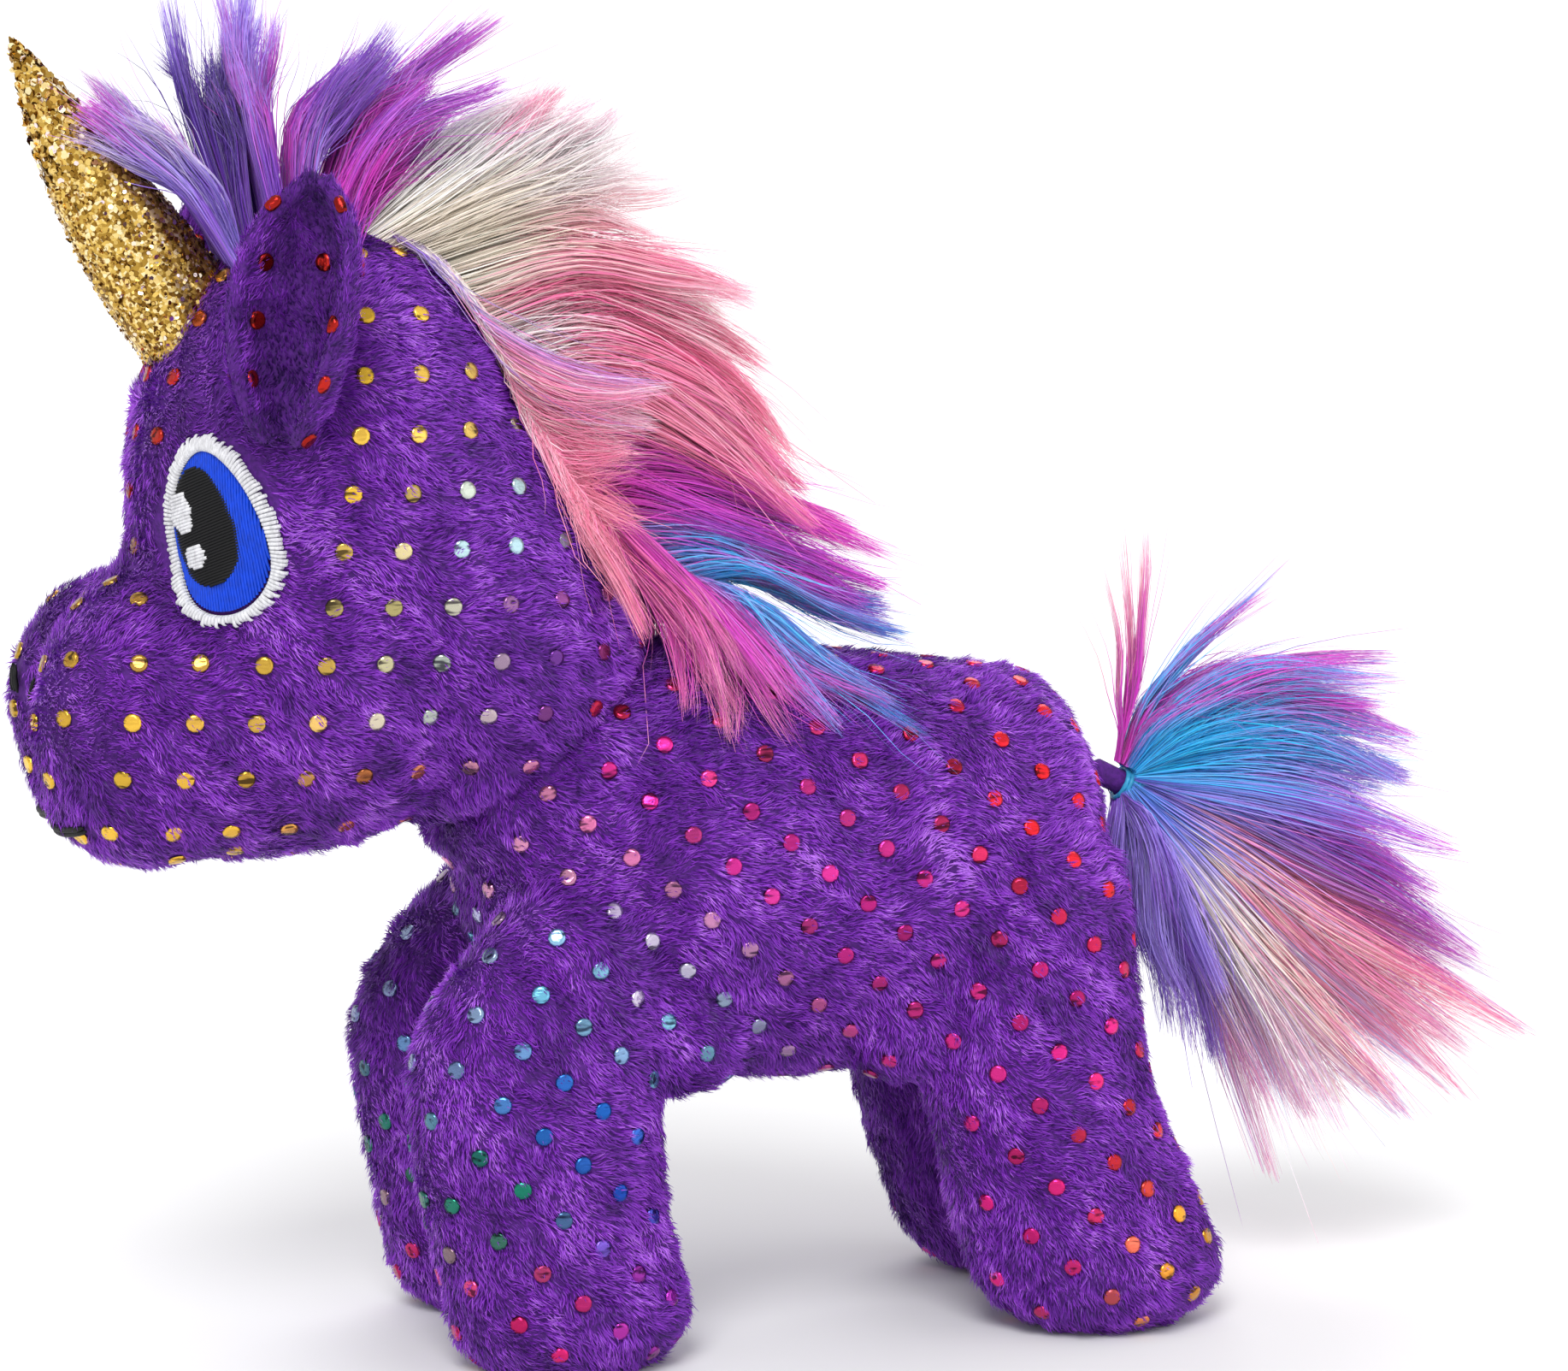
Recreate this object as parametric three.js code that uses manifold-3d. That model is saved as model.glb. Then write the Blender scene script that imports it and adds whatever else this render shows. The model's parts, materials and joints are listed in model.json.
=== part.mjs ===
// A small stuffed unicorn, sewn from pile fabric. Body, head and four legs are fabric covers over fibre fill.
// It has folded ears, a stuffed horn, embroidered eyes and mouth, and a mane, forelock and tail of long fur.
// Millimetres, +Z up, nose towards -X, left side towards -Y. The origin is on the floor, midway along.
import * as THREE from "three";
import { mergeVertices } from "three/addons/utils/BufferGeometryUtils.js";
import Module from "manifold-3d";

const wasm = await Module();
wasm.setup();

// ---- Driving dimensions ----
const COVER = 1.5; // thickness of the pile fabric
const GAP = 0.3; // between pieces that touch
const JOINT_GAP = 0.8; // round a ball that turns in its socket
const FAR = 300; // longer than the object

// Facets round and along each kind of round solid
const FACETS = {
  torso: [14, 10],
  leg: [10, 6],
  ball: [12, 6],
  skull: [16, 10],
  muzzle: [12, 7],
  fur: [10, 7],
  ear: [10, 7],
};

const TORSO = { back: 43.5, front: -52, halfWidth: 26, halfHeight: 27, axisHeight: 61 };
const LEG = { side: 16, pivotHeight: 40, ball: 16, halfWidth: 12.5, coverTop: 37 };
const FRONT_LEG_X = -37;
const HIND_LEG_X = 28;
const SKULL = { x: -54, z: 104, halfLength: 30, halfWidth: 27, halfHeight: 38.5 };
const MUZZLE = { x: -73, z: 82, halfLength: 27, halfWidth: 21, halfHeight: 19.5 };
const NECK = { x: -33.5, z: 78, ball: 19, lean: -38, torsoGroove: 15, headGroove: 3.5 };
const GUSSET = { halfWidth: 10, lip: 78 };
const HORN = { bearing: 137, stand: 2, length: 39, radius: 7.4, wall: 0.8, lean: -31.4, clearance: 1.4 };
const EAR = {
  ahead: 13,
  side: 4.5,
  down: 5.5,
  halfLength: 16.5,
  halfWidth: 9,
  depth: 6.5,
  layer: 1.1,
  lean: 4,
  open: 30,
  clearance: 2.6,
};
const EYE = { ahead: 24, above: 3, halfWidth: 7.6, halfHeight: 11, raise: 0.7, toe: 34, roll: 5 };
const MOUTH = { below: 12, stem: 5, branch: 11, droop: 5, stitch: 1.1, raise: 0.6 };
const NOSTRIL = { side: 6.5, above: 4, halfWidth: 1.1, halfHeight: 2 };
const STRIP = { halfWidth: 4, thickness: 0.8, front: -66, overlap: 3 };
const FORELOCK = { ahead: 8, stand: 0.7, height: 23, halfLength: 10, halfWidth: 6.5 };
const MANE = { halfWidth: 6, clear: 2.6, bearing: 80, crown: 1.38, tip: 2.1 };
const TAIL = {
  behind: 2.3,
  above: 7,
  core: 2,
  tie: 3.6,
  tieLength: 4,
  slope: 27,
  reach: 62,
  spread: 18,
  halfWidth: 8,
};

const COLOUR = {
  purple: { color: 0x5a1fa8, roughness: 0.9, metalness: 0 },
  fill: { color: 0xf2f0ea, roughness: 1, metalness: 0 },
  gold: { color: 0xc9a03a, roughness: 0.35, metalness: 0.7 },
  white: { color: 0xf1f1f1, roughness: 0.5, metalness: 0 },
  blue: { color: 0x0b4fd8, roughness: 0.45, metalness: 0 },
  black: { color: 0x111114, roughness: 0.5, metalness: 0 },
  fur: { color: 0xd85aa0, roughness: 0.7, metalness: 0 },
  turquoise: { color: 0x2f9fd8, roughness: 0.6, metalness: 0 },
};

// ---- Solids from three.js geometry ----
function solidOf(geometry, matrix = new THREE.Matrix4()) {
  const bare = new THREE.BufferGeometry();
  const flat = geometry.index ? geometry.toNonIndexed() : geometry;
  bare.setAttribute("position", flat.getAttribute("position").clone());
  bare.applyMatrix4(matrix);
  const merged = mergeVertices(bare, 1e-4);
  const mesh = { numProp: 3, vertProperties: merged.attributes.position.array, triVerts: merged.index.array };
  return new wasm.Manifold(new wasm.Mesh(mesh));
}

function placed(x, y, z, turnX = 0, turnY = 0, turnZ = 0) {
  const turn = new THREE.Euler(...[turnX, turnY, turnZ].map(THREE.MathUtils.degToRad), "ZYX");
  return new THREE.Matrix4().makeRotationFromEuler(turn).setPosition(x, y, z);
}

function box(x0, x1, y0, y1, z0, z1) {
  const middle = placed((x0 + x1) / 2, (y0 + y1) / 2, (z0 + z1) / 2);
  return solidOf(new THREE.BoxGeometry(x1 - x0, y1 - y0, z1 - z0), middle);
}

function ellipsoid(centre, half, [across, along]) {
  const ball = new THREE.SphereGeometry(1, across, along);
  ball.rotateX(Math.PI / 2);
  ball.scale(...half);
  return solidOf(ball, placed(...centre));
}

// A round solid through stations {at, side, up, a, b}: the middle and the two half sizes of the section
// at each place along the axis. endPower shapes the two ends: 2 is a plain ellipse, and more is blunter.
function loft(axis, stations, inset, endPower, [across, along]) {
  const first = stations[0].at + inset;
  const last = stations[stations.length - 1].at - inset;
  const shape = new THREE.SphereGeometry(1, across, along);
  const point = shape.getAttribute("position");
  const read = (key, at) => {
    const next = Math.max(1, stations.findIndex((s) => s.at >= at));
    const [low, high] = [stations[next - 1], stations[next]];
    const straight = (at - low.at) / (high.at - low.at);
    const share = (THREE.MathUtils.smoothstep(at, low.at, high.at) + straight) / 2;
    return THREE.MathUtils.lerp(low[key], high[key], share);
  };
  for (let i = 0; i < point.count; i++) {
    const along1 = -point.getY(i);
    const ring = Math.hypot(point.getX(i), point.getZ(i));
    const at = THREE.MathUtils.lerp(first, last, (along1 + 1) / 2);
    const end = Math.pow(Math.max(0, 1 - Math.pow(Math.abs(along1), endPower)), 1 / endPower);
    const [c, s] = ring > 1e-6 ? [point.getX(i) / ring, point.getZ(i) / ring] : [0, 0];
    const a = (read("a", at) - inset) * end * c;
    const b = (read("b", at) - inset) * end * s;
    if (axis === "x") point.setXYZ(i, at, read("side", at) + a, read("up", at) + b);
    else point.setXYZ(i, read("side", at) + a, read("up", at) + b, at);
  }
  return solidOf(shape);
}

// ---- Nodes ----
const toy = new THREE.Group();

function addNode(name, solid, look) {
  const { vertProperties, triVerts, numProp, numVert } = solid.getMesh();
  const position = new Float32Array(numVert * 3);
  for (let i = 0; i < numVert; i++) {
    position.set(vertProperties.subarray(i * numProp, i * numProp + 3), i * 3);
  }
  const geometry = new THREE.BufferGeometry();
  geometry.setAttribute("position", new THREE.BufferAttribute(position, 3));
  geometry.setIndex(new THREE.BufferAttribute(Uint32Array.from(triVerts), 1));
  geometry.computeVertexNormals();
  const mesh = new THREE.Mesh(geometry, new THREE.MeshStandardMaterial(COLOUR[look]));
  mesh.name = name;
  toy.add(mesh);
}

const SIDES = [
  { name: "left", y: -1 },
  { name: "right", y: 1 },
];

// ---- Legs ----
const LEGS = {
  front: {
    x: FRONT_LEG_X,
    stations: [
      { at: -1, side: -33.5, a: 14.5, b: 12 },
      { at: 12, side: -34.5, a: 15, b: 12.5 },
      { at: 27, side: -37.5, a: 15.2, b: 12.5 },
      { at: 35, side: -37, a: 15, b: 12.2 },
      { at: 44, side: -37, a: 14, b: 11.5 },
    ],
  },
  hind: {
    x: HIND_LEG_X,
    stations: [
      { at: -1, side: 39.5, a: 14.5, b: 12 },
      { at: 8, side: 38.5, a: 16.5, b: 12.5 },
      { at: 20, side: 32, a: 15.5, b: 12.5 },
      { at: 35, side: 28, a: 15, b: 12.2 },
      { at: 44, side: 28, a: 14, b: 11.5 },
    ],
  },
};

function legBall(leg, y, grow) {
  const half = [LEG.ball + grow, LEG.halfWidth + grow, LEG.ball + grow];
  return ellipsoid([leg.x, y * LEG.side, LEG.pivotHeight], half, FACETS.ball);
}

function legShape(leg, y, inset) {
  const stations = leg.stations.map((s) => ({ ...s, up: y * LEG.side }));
  const lower = loft("z", stations, inset, 6, FACETS.leg);
  const sole = box(-FAR, FAR, -FAR, FAR, -FAR, inset);
  return lower.add(legBall(leg, y, -inset)).subtract(sole);
}

function addLeg(where, side) {
  const leg = LEGS[where];
  const name = `${where}_${side.name}`;
  const outer = legShape(leg, side.y, 0);
  const hollow = legShape(leg, side.y, COVER);
  const slice = (low, high) => box(-FAR, FAR, -FAR, FAR, low, high);
  const seam = side.y * LEG.side;
  const cover = outer.subtract(hollow).intersect(slice(COVER + GAP, LEG.coverTop));
  const outside = side.y < 0 ? [-FAR, seam - GAP / 2] : [seam + GAP / 2, FAR];
  const inside = side.y < 0 ? [seam + GAP / 2, FAR] : [-FAR, seam - GAP / 2];
  addNode(`${name}_leg_outer_cover`, cover.intersect(box(-FAR, FAR, ...outside, -FAR, FAR)), "purple");
  addNode(`${name}_leg_inner_cover`, cover.intersect(box(-FAR, FAR, ...inside, -FAR, FAR)), "purple");
  addNode(`${name}_sole`, outer.intersect(slice(-FAR, COVER)), "purple");
  const top = outer.intersect(slice(LEG.coverTop + GAP, FAR));
  const fill = legShape(leg, side.y, COVER + GAP).add(top);
  addNode(`${name}_leg_fill`, fill, "fill");
}

// ---- Torso ----
const torsoStations = [
  { at: TORSO.front, side: 0, up: 59, a: 17, b: 17 },
  { at: -38, side: 0, up: 61, a: 23, b: 24 },
  { at: -20, side: 0, up: 62, a: TORSO.halfWidth - 1, b: TORSO.halfHeight + 0.5 },
  { at: 8, side: 0, up: TORSO.axisHeight, a: TORSO.halfWidth, b: TORSO.halfHeight },
  { at: 30, side: 0, up: TORSO.axisHeight - 1, a: 24.5, b: 25 },
  { at: TORSO.back, side: 0, up: TORSO.axisHeight - 3, a: 21, b: 22 },
];
const torsoShape = (inset) => loft("x", torsoStations, inset, 4, FACETS.torso);

// The neck turns on a ball, and a groove shaped like a flat cone leaves room on each side of the seam.
const neckBall = (grow) => ellipsoid([NECK.x, 0, NECK.z], Array(3).fill(NECK.ball + grow), FACETS.skull);

function beyondSeam(degrees, towardsHead) {
  const wide = 90;
  const rise = wide * Math.tan(THREE.MathUtils.degToRad(degrees));
  const end = towardsHead ? wide : -wide;
  const edge = towardsHead ? -rise : rise;
  const profile = [[0, 0], [wide, edge], [wide, end], [0, end]].map(([r, h]) => new THREE.Vector2(r, h));
  const cone = new THREE.LatheGeometry(towardsHead ? profile : profile.reverse(), 24);
  cone.rotateX(Math.PI / 2);
  return solidOf(cone, placed(NECK.x, 0, NECK.z, 0, NECK.lean));
}

function addTorso() {
  let clear = neckBall(JOINT_GAP).add(beyondSeam(NECK.torsoGroove, true));
  for (const leg of Object.values(LEGS)) {
    for (const { y } of SIDES) clear = clear.add(legBall(leg, y, JOINT_GAP));
  }
  const cover = torsoShape(0).subtract(torsoShape(COVER)).subtract(clear);
  const belly = { halfWidth: 11, top: 50 };
  const strip = (grow) => {
    const half = belly.halfWidth + grow;
    return box(-FAR, FAR, -half, half, -FAR, belly.top + grow);
  };
  const sides = cover.subtract(strip(GAP));
  addNode("belly_panel", largest(cover.intersect(strip(0))), "purple");
  addNode("torso_left_panel", largest(sides.intersect(box(-FAR, FAR, -FAR, -GAP / 2, -FAR, FAR))), "purple");
  addNode("torso_right_panel", largest(sides.intersect(box(-FAR, FAR, GAP / 2, FAR, -FAR, FAR))), "purple");
  addNode("torso_fill", largest(torsoShape(COVER + GAP).subtract(clear)), "fill");
}

// A cut can leave crumbs beside a piece: this keeps the piece.
function largest(solid) {
  return solid.decompose().sort((p, q) => q.volume() - p.volume())[0];
}

// ---- Head ----
function skull(inset) {
  const half = [SKULL.halfLength, SKULL.halfWidth, SKULL.halfHeight].map((h) => h - inset);
  return ellipsoid([SKULL.x, 0, SKULL.z], half, FACETS.skull);
}

function muzzle(inset) {
  const half = [MUZZLE.halfLength, MUZZLE.halfWidth, MUZZLE.halfHeight].map((h) => h - inset);
  return ellipsoid([MUZZLE.x, 0, MUZZLE.z], half, FACETS.muzzle);
}

// A point in the middle plane, at a bearing round the skull's outline: 90 is the crown, 180 the forehead.
function onSkull(bearing, stand = 0, grow = 1) {
  const turn = THREE.MathUtils.degToRad(bearing);
  const x = SKULL.x + (SKULL.halfLength * grow + stand) * Math.cos(turn);
  return new THREE.Vector2(x, SKULL.z + (SKULL.halfHeight * grow + stand) * Math.sin(turn));
}

const headShape = (inset) => skull(inset).add(muzzle(inset));
const raised = (low, high) => headShape(-high).subtract(headShape(-low));

function addHead() {
  const below = beyondSeam(-NECK.headGroove, false);
  const clear = below.add(neckBall(JOINT_GAP));
  const cover = headShape(0).subtract(headShape(COVER)).subtract(clear);
  const strip = (grow) => {
    const half = GUSSET.halfWidth + grow;
    return box(-FAR, FAR, -half, half, GUSSET.lip - grow, FAR);
  };
  const sides = cover.subtract(strip(GAP));
  addNode("head_gusset", largest(cover.intersect(strip(0))), "purple");
  addNode("head_left_panel", largest(sides.intersect(box(-FAR, FAR, -FAR, -GAP / 2, -FAR, FAR))), "purple");
  addNode("head_right_panel", largest(sides.intersect(box(-FAR, FAR, GAP / 2, FAR, -FAR, FAR))), "purple");
  addNode("head_fill", largest(headShape(COVER + GAP).subtract(clear)), "fill");
  addNode("neck_fill", neckBall(0), "fill");
}

// ---- Embroidery ----
function ellipsePath(x, y, halfWidth, halfHeight, turn = 0) {
  return new THREE.Shape().absellipse(x, y, halfWidth, halfHeight, 0, 2 * Math.PI, false, turn);
}

function stitched(shape, matrix, curve = 4) {
  const prism = new THREE.ExtrudeGeometry(shape, { depth: 14, bevelEnabled: false, curveSegments: curve });
  prism.translate(0, 0, -7);
  return solidOf(prism, matrix);
}

function addEye(side) {
  const skin = raised(GAP, GAP + EYE.raise);
  const face = side.y < 0 ? 90 : -90;
  const reach = SKULL.halfWidth * 0.68;
  const turned = new THREE.Matrix4()
    .makeRotationZ(THREE.MathUtils.degToRad(side.y * EYE.toe))
    .multiply(new THREE.Matrix4().makeRotationX(THREE.MathUtils.degToRad(face)));
  const middle = new THREE.Vector3(SKULL.x - EYE.ahead, side.y * reach, SKULL.z + EYE.above);
  const place = new THREE.Matrix4().setPosition(middle).multiply(turned);
  const flip = side.y < 0 ? 1 : -1;
  const roll = THREE.MathUtils.degToRad(EYE.roll);
  const ring = (grow, dx = 0, dy = 0) =>
    ellipsePath(dx, dy * flip, EYE.halfWidth - grow, EYE.halfHeight - grow, roll * flip);
  const cut = (outer, ...holes) => {
    let piece = stitched(outer, place).intersect(skin);
    for (const hole of holes) piece = piece.subtract(stitched(hole, place));
    return largest(piece);
  };
  const [iris, pupil] = [{ in: 2, dy: -0.6 }, { in: 3.6, dy: 0.9 }];
  const glints = [
    { name: "upper", x: -2.1, y: 3.4, a: 1.5, b: 2.4 },
    { name: "lower", x: -1.2, y: -2.6, a: 1.3, b: 1.6 },
  ];
  const glint = (g, grow) => ellipsePath(g.x, g.y * flip, g.a + grow, g.b + grow);
  addNode(`eye_${side.name}_white`, cut(ring(0), ring(iris.in - GAP, 0, iris.dy)), "white");
  addNode(`eye_${side.name}_iris`, cut(ring(iris.in, 0, iris.dy), ring(pupil.in - GAP, 0, pupil.dy)), "blue");
  addNode(
    `eye_${side.name}_pupil`,
    cut(ring(pupil.in, 0, pupil.dy), ...glints.map((g) => glint(g, GAP))),
    "black",
  );
  for (const g of glints) addNode(`eye_${side.name}_${g.name}_glint`, cut(glint(g, 0)), "white");
}

function addMouth() {
  const half = MOUTH.stitch / 2;
  const stroke = (length, degrees) => {
    const turn = placed(MUZZLE.x - MUZZLE.halfLength + 4, 0, MUZZLE.z - MOUTH.below, degrees);
    const bar = new THREE.BoxGeometry(30, MOUTH.stitch, length + half);
    return solidOf(bar, turn.multiply(placed(0, 0, length / 2)));
  };
  const side = 90 + MOUTH.droop;
  const strokes = stroke(MOUTH.stem, 180).add(stroke(MOUTH.branch, side)).add(stroke(MOUTH.branch, -side));
  const front = box(-FAR, MUZZLE.x, -FAR, FAR, -FAR, FAR);
  const skin = raised(GAP, GAP + MOUTH.raise).intersect(front);
  addNode("mouth_stitching", largest(skin.intersect(strokes)), "black");
  for (const { name, y } of SIDES) {
    const height = MUZZLE.z + NOSTRIL.above;
    const spot = ellipsePath(y * NOSTRIL.side, height, NOSTRIL.halfWidth, NOSTRIL.halfHeight);
    const upright = new THREE.Matrix4().makeBasis(
      new THREE.Vector3(0, 1, 0),
      new THREE.Vector3(0, 0, 1),
      new THREE.Vector3(1, 0, 0),
    );
    const peg = stitched(spot, upright.setPosition(MUZZLE.x - MUZZLE.halfLength + 4, 0, 0), 10);
    addNode(`nostril_${name}_stitching`, largest(skin.intersect(peg)), "black");
  }
}

// ---- Ears: two layers of fabric, folded to a cup that opens forwards and outwards ----
function addEar(side) {
  const top = SKULL.z + SKULL.halfHeight;
  const middle = [SKULL.x - EAR.ahead, side.y * (SKULL.halfWidth - EAR.side), top - EAR.down];
  const place = placed(...middle, side.y * -EAR.lean, 0, side.y * EAR.open);
  const cup = (inset) => {
    const half = [EAR.halfWidth - inset, EAR.depth - inset, EAR.halfLength - inset];
    const ball = new THREE.SphereGeometry(1, ...FACETS.ear);
    ball.rotateX(Math.PI / 2);
    ball.scale(...half);
    return solidOf(ball, place);
  };
  const front = new THREE.BoxGeometry(60, 30, 60);
  const mouth = solidOf(front, place.clone().multiply(placed(0, side.y * (15 + 1), 0)));
  const clear = skull(-EAR.clearance);
  const layer = (from, to) => cup(from).subtract(cup(to)).subtract(mouth).subtract(clear);
  addNode(`ear_${side.name}_outer`, largest(layer(0, EAR.layer)), "purple");
  addNode(`ear_${side.name}_lining`, largest(layer(EAR.layer + GAP, 2 * EAR.layer + GAP)), "purple");
}

// ---- Horn: a stuffed cone of glitter fabric ----
function addHorn() {
  const base = onSkull(HORN.bearing, HORN.stand);
  const cone = (inset, foot) => {
    const slope = HORN.length / HORN.radius;
    const top = HORN.length - inset * slope;
    const radius = HORN.radius - inset;
    const profile = [[0, foot], [radius, foot], [radius, 0], [0.5, top - 2], [0, top]];
    const turned = new THREE.LatheGeometry(profile.map(([r, h]) => new THREE.Vector2(r, h)), 24);
    turned.rotateX(Math.PI / 2);
    return solidOf(turned, placed(base.x, 0, base.y, 0, HORN.lean));
  };
  const clear = skull(-HORN.clearance);
  addNode("horn_cover", largest(cone(0, -10).subtract(cone(HORN.wall, -12)).subtract(clear)), "gold");
  addNode("horn_fill", largest(cone(HORN.wall + GAP, -10).subtract(skull(-HORN.clearance - GAP))), "fill");
}

// ---- Fur ----
function addForelock() {
  const [root, x] = [SKULL.z + SKULL.halfHeight + FORELOCK.stand, SKULL.x - FORELOCK.ahead];
  const full = { up: 0, a: FORELOCK.halfLength, b: FORELOCK.halfWidth };
  const stations = [
    { at: root, side: x - 1, up: 0, a: FORELOCK.halfLength - 3, b: FORELOCK.halfWidth - 1.5 },
    { at: root + FORELOCK.height / 2, side: x, ...full },
    { at: root + FORELOCK.height, side: x + 2, ...full },
  ];
  const clear = skull(-MANE.clear);
  addNode("forelock_fur", loft("z", stations, 0, 3, FACETS.fur).subtract(clear), "fur");
}

function addMane() {
  const edge = [];
  for (let share = 0; share <= 1; share += 0.2) {
    edge.push(onSkull(MANE.bearing * (1 - share), 0, THREE.MathUtils.lerp(MANE.crown, MANE.tip, share)));
  }
  const outline = new THREE.Shape();
  outline.moveTo(...onSkull(90).toArray());
  outline.lineTo(...edge[0].toArray());
  outline.splineThru(edge.slice(1));
  outline.lineTo(...onSkull(-10).toArray());
  outline.closePath();
  const bevel = { bevelThickness: 2, bevelSize: 1.5, bevelSegments: 2 };
  const depth = 2 * (MANE.halfWidth - bevel.bevelThickness);
  const slab = new THREE.ExtrudeGeometry(outline, { depth, curveSegments: 6, ...bevel });
  slab.translate(0, 0, 2 - MANE.halfWidth);
  slab.rotateX(Math.PI / 2);
  const clear = skull(-MANE.clear).add(neckBall(MANE.clear));
  addNode("mane_fur", largest(solidOf(slab).subtract(clear)), "fur");
}

function addManeStrip() {
  const band = skull(-GAP - STRIP.thickness).subtract(skull(-GAP));
  const half = STRIP.halfWidth;
  const crest = box(STRIP.front, FAR, -half, half, NECK.z + NECK.ball - STRIP.overlap, FAR);
  addNode("mane_backing_strip", largest(band.intersect(crest).subtract(neckBall(GAP))), "fill");
}

// ---- Tail: a rolled core, a thread tie round it and a spray of fur ----
function addTail() {
  const root = [TORSO.back + TAIL.behind, 0, TORSO.axisHeight + TAIL.above];
  const along = (distance) => placed(...root, 0, 90 + TAIL.slope).multiply(placed(0, 0, distance));
  const core = new THREE.CapsuleGeometry(TAIL.core, TAIL.tieLength, 4, 12).rotateX(Math.PI / 2);
  addNode("tail_core", solidOf(core, along(TAIL.tieLength / 2)), "fill");
  const profile = [
    [TAIL.core + GAP, 0],
    [TAIL.tie - 0.6, 0],
    [TAIL.tie, TAIL.tieLength / 2],
    [TAIL.tie - 0.6, TAIL.tieLength],
    [TAIL.core + GAP, TAIL.tieLength],
    [TAIL.core + GAP, 0],
  ].map(([r, h]) => new THREE.Vector2(r, h));
  const tie = new THREE.LatheGeometry(profile, 12).rotateX(Math.PI / 2);
  addNode("tail_tie_thread", solidOf(tie, along(0)), "turquoise");
  const stations = [
    { at: 0, side: 0, up: 0, a: 5, b: 5 },
    { at: TAIL.reach * 0.35, side: 0, up: 0, a: TAIL.spread * 0.8, b: TAIL.halfWidth },
    { at: TAIL.reach * 0.7, side: 0, up: 0, a: TAIL.spread, b: TAIL.halfWidth },
    { at: TAIL.reach, side: 0, up: 0, a: TAIL.spread * 0.8, b: TAIL.halfWidth * 0.7 },
  ];
  const spray = loft("z", stations, 0, 2.4, FACETS.fur);
  const start = TAIL.tieLength + TAIL.core + JOINT_GAP;
  addNode("tail_fur", spray.transform(along(start).elements), "fur");
}

// ---- Assembly ----
addTorso();
for (const where of Object.keys(LEGS)) {
  for (const side of SIDES) addLeg(where, side);
}
addHead();
SIDES.forEach(addEye);
addMouth();
SIDES.forEach(addEar);
addHorn();
addManeStrip();
addForelock();
addMane();
addTail();

const size = new THREE.Box3().setFromObject(toy);
toy.position.set(-(size.min.x + size.max.x) / 2, 0, -size.min.z);

export default toy;
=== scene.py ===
# A small plush unicorn: pile fabric over stuffing, embroidered eyes and mouth, a glitter horn and long fur.
# The CAD frame gives the bodies, joints and places; this script makes the visible surfaces.
import json

import bpy
import numpy as np
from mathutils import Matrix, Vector
from mathutils.bvhtree import BVHTree
from mathutils.kdtree import KDTree


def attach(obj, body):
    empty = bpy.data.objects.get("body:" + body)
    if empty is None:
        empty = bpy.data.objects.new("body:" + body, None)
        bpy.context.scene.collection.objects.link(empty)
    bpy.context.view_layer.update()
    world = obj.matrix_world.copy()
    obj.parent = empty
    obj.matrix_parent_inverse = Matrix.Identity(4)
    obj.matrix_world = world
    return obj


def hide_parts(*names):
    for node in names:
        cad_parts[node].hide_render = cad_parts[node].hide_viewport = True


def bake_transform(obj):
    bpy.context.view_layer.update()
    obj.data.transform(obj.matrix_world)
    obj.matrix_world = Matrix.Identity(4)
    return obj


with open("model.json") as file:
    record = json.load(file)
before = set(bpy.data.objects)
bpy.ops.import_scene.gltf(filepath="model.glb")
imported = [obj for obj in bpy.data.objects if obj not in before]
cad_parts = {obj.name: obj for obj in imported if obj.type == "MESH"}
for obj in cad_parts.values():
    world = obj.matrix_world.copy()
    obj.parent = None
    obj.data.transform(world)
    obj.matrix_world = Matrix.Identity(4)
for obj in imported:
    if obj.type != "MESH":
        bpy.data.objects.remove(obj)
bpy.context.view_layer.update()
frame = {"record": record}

MM = 0.001
JOINTS = {joint["name"]: joint for joint in frame["record"]["behaviour"]["joints"]}
SIDES = {"left": -1, "right": 1}


def joint_place(name):
    return np.array(JOINTS[name]["pos_m"]) / MM


def unit(v):
    v = np.asarray(v, float)
    return v / np.linalg.norm(v, axis=-1, keepdims=True)


# ---- Sizes and places, in millimetres. x is measured from the middle of the back, z from the floor ----
NECK_X = -33.5
NECK = joint_place("neck_nod")
ORIGIN = np.array([NECK[0] - NECK_X, 0.0, 0.0])
NECK_AXIS = unit(JOINTS["head_turn"]["axis"])
NECK_BEND = 13  # how far the cloth would bend on each side of the neck seam; it sets the widths of the collar and nape cloth, and no bend is applied
LEG_BEND = {"front": ((-29, 47), (-40.7, 23.9)), "hind": ((20, 47), (31.7, 23.9))}  # x and z where it starts and ends
LEG_X = {"front": -37, "hind": 28}
LEG_SIDE = 16
MANE_BEND = 24  # how far from its hinge the mane would go over from the head to its own motion; the sway is not applied
SOLE = 0.9

PILE = {"length": 1.5, "width": 0.18, "lift": 0.44, "per_mm2": 9.0, "floor": 0.1}
DOT = {"radius": 1.15, "raise": 0.62, "apart": 4.9}
HEAD_GRID = (7.2, -0.1), (-1.1, -6.9)  # steps along x and z from one dot to the next
BODY_GRID = (7.5, 2.6), (-2.6, -6.6)
VOXEL = 1.0
SHARE = 1.0


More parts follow.
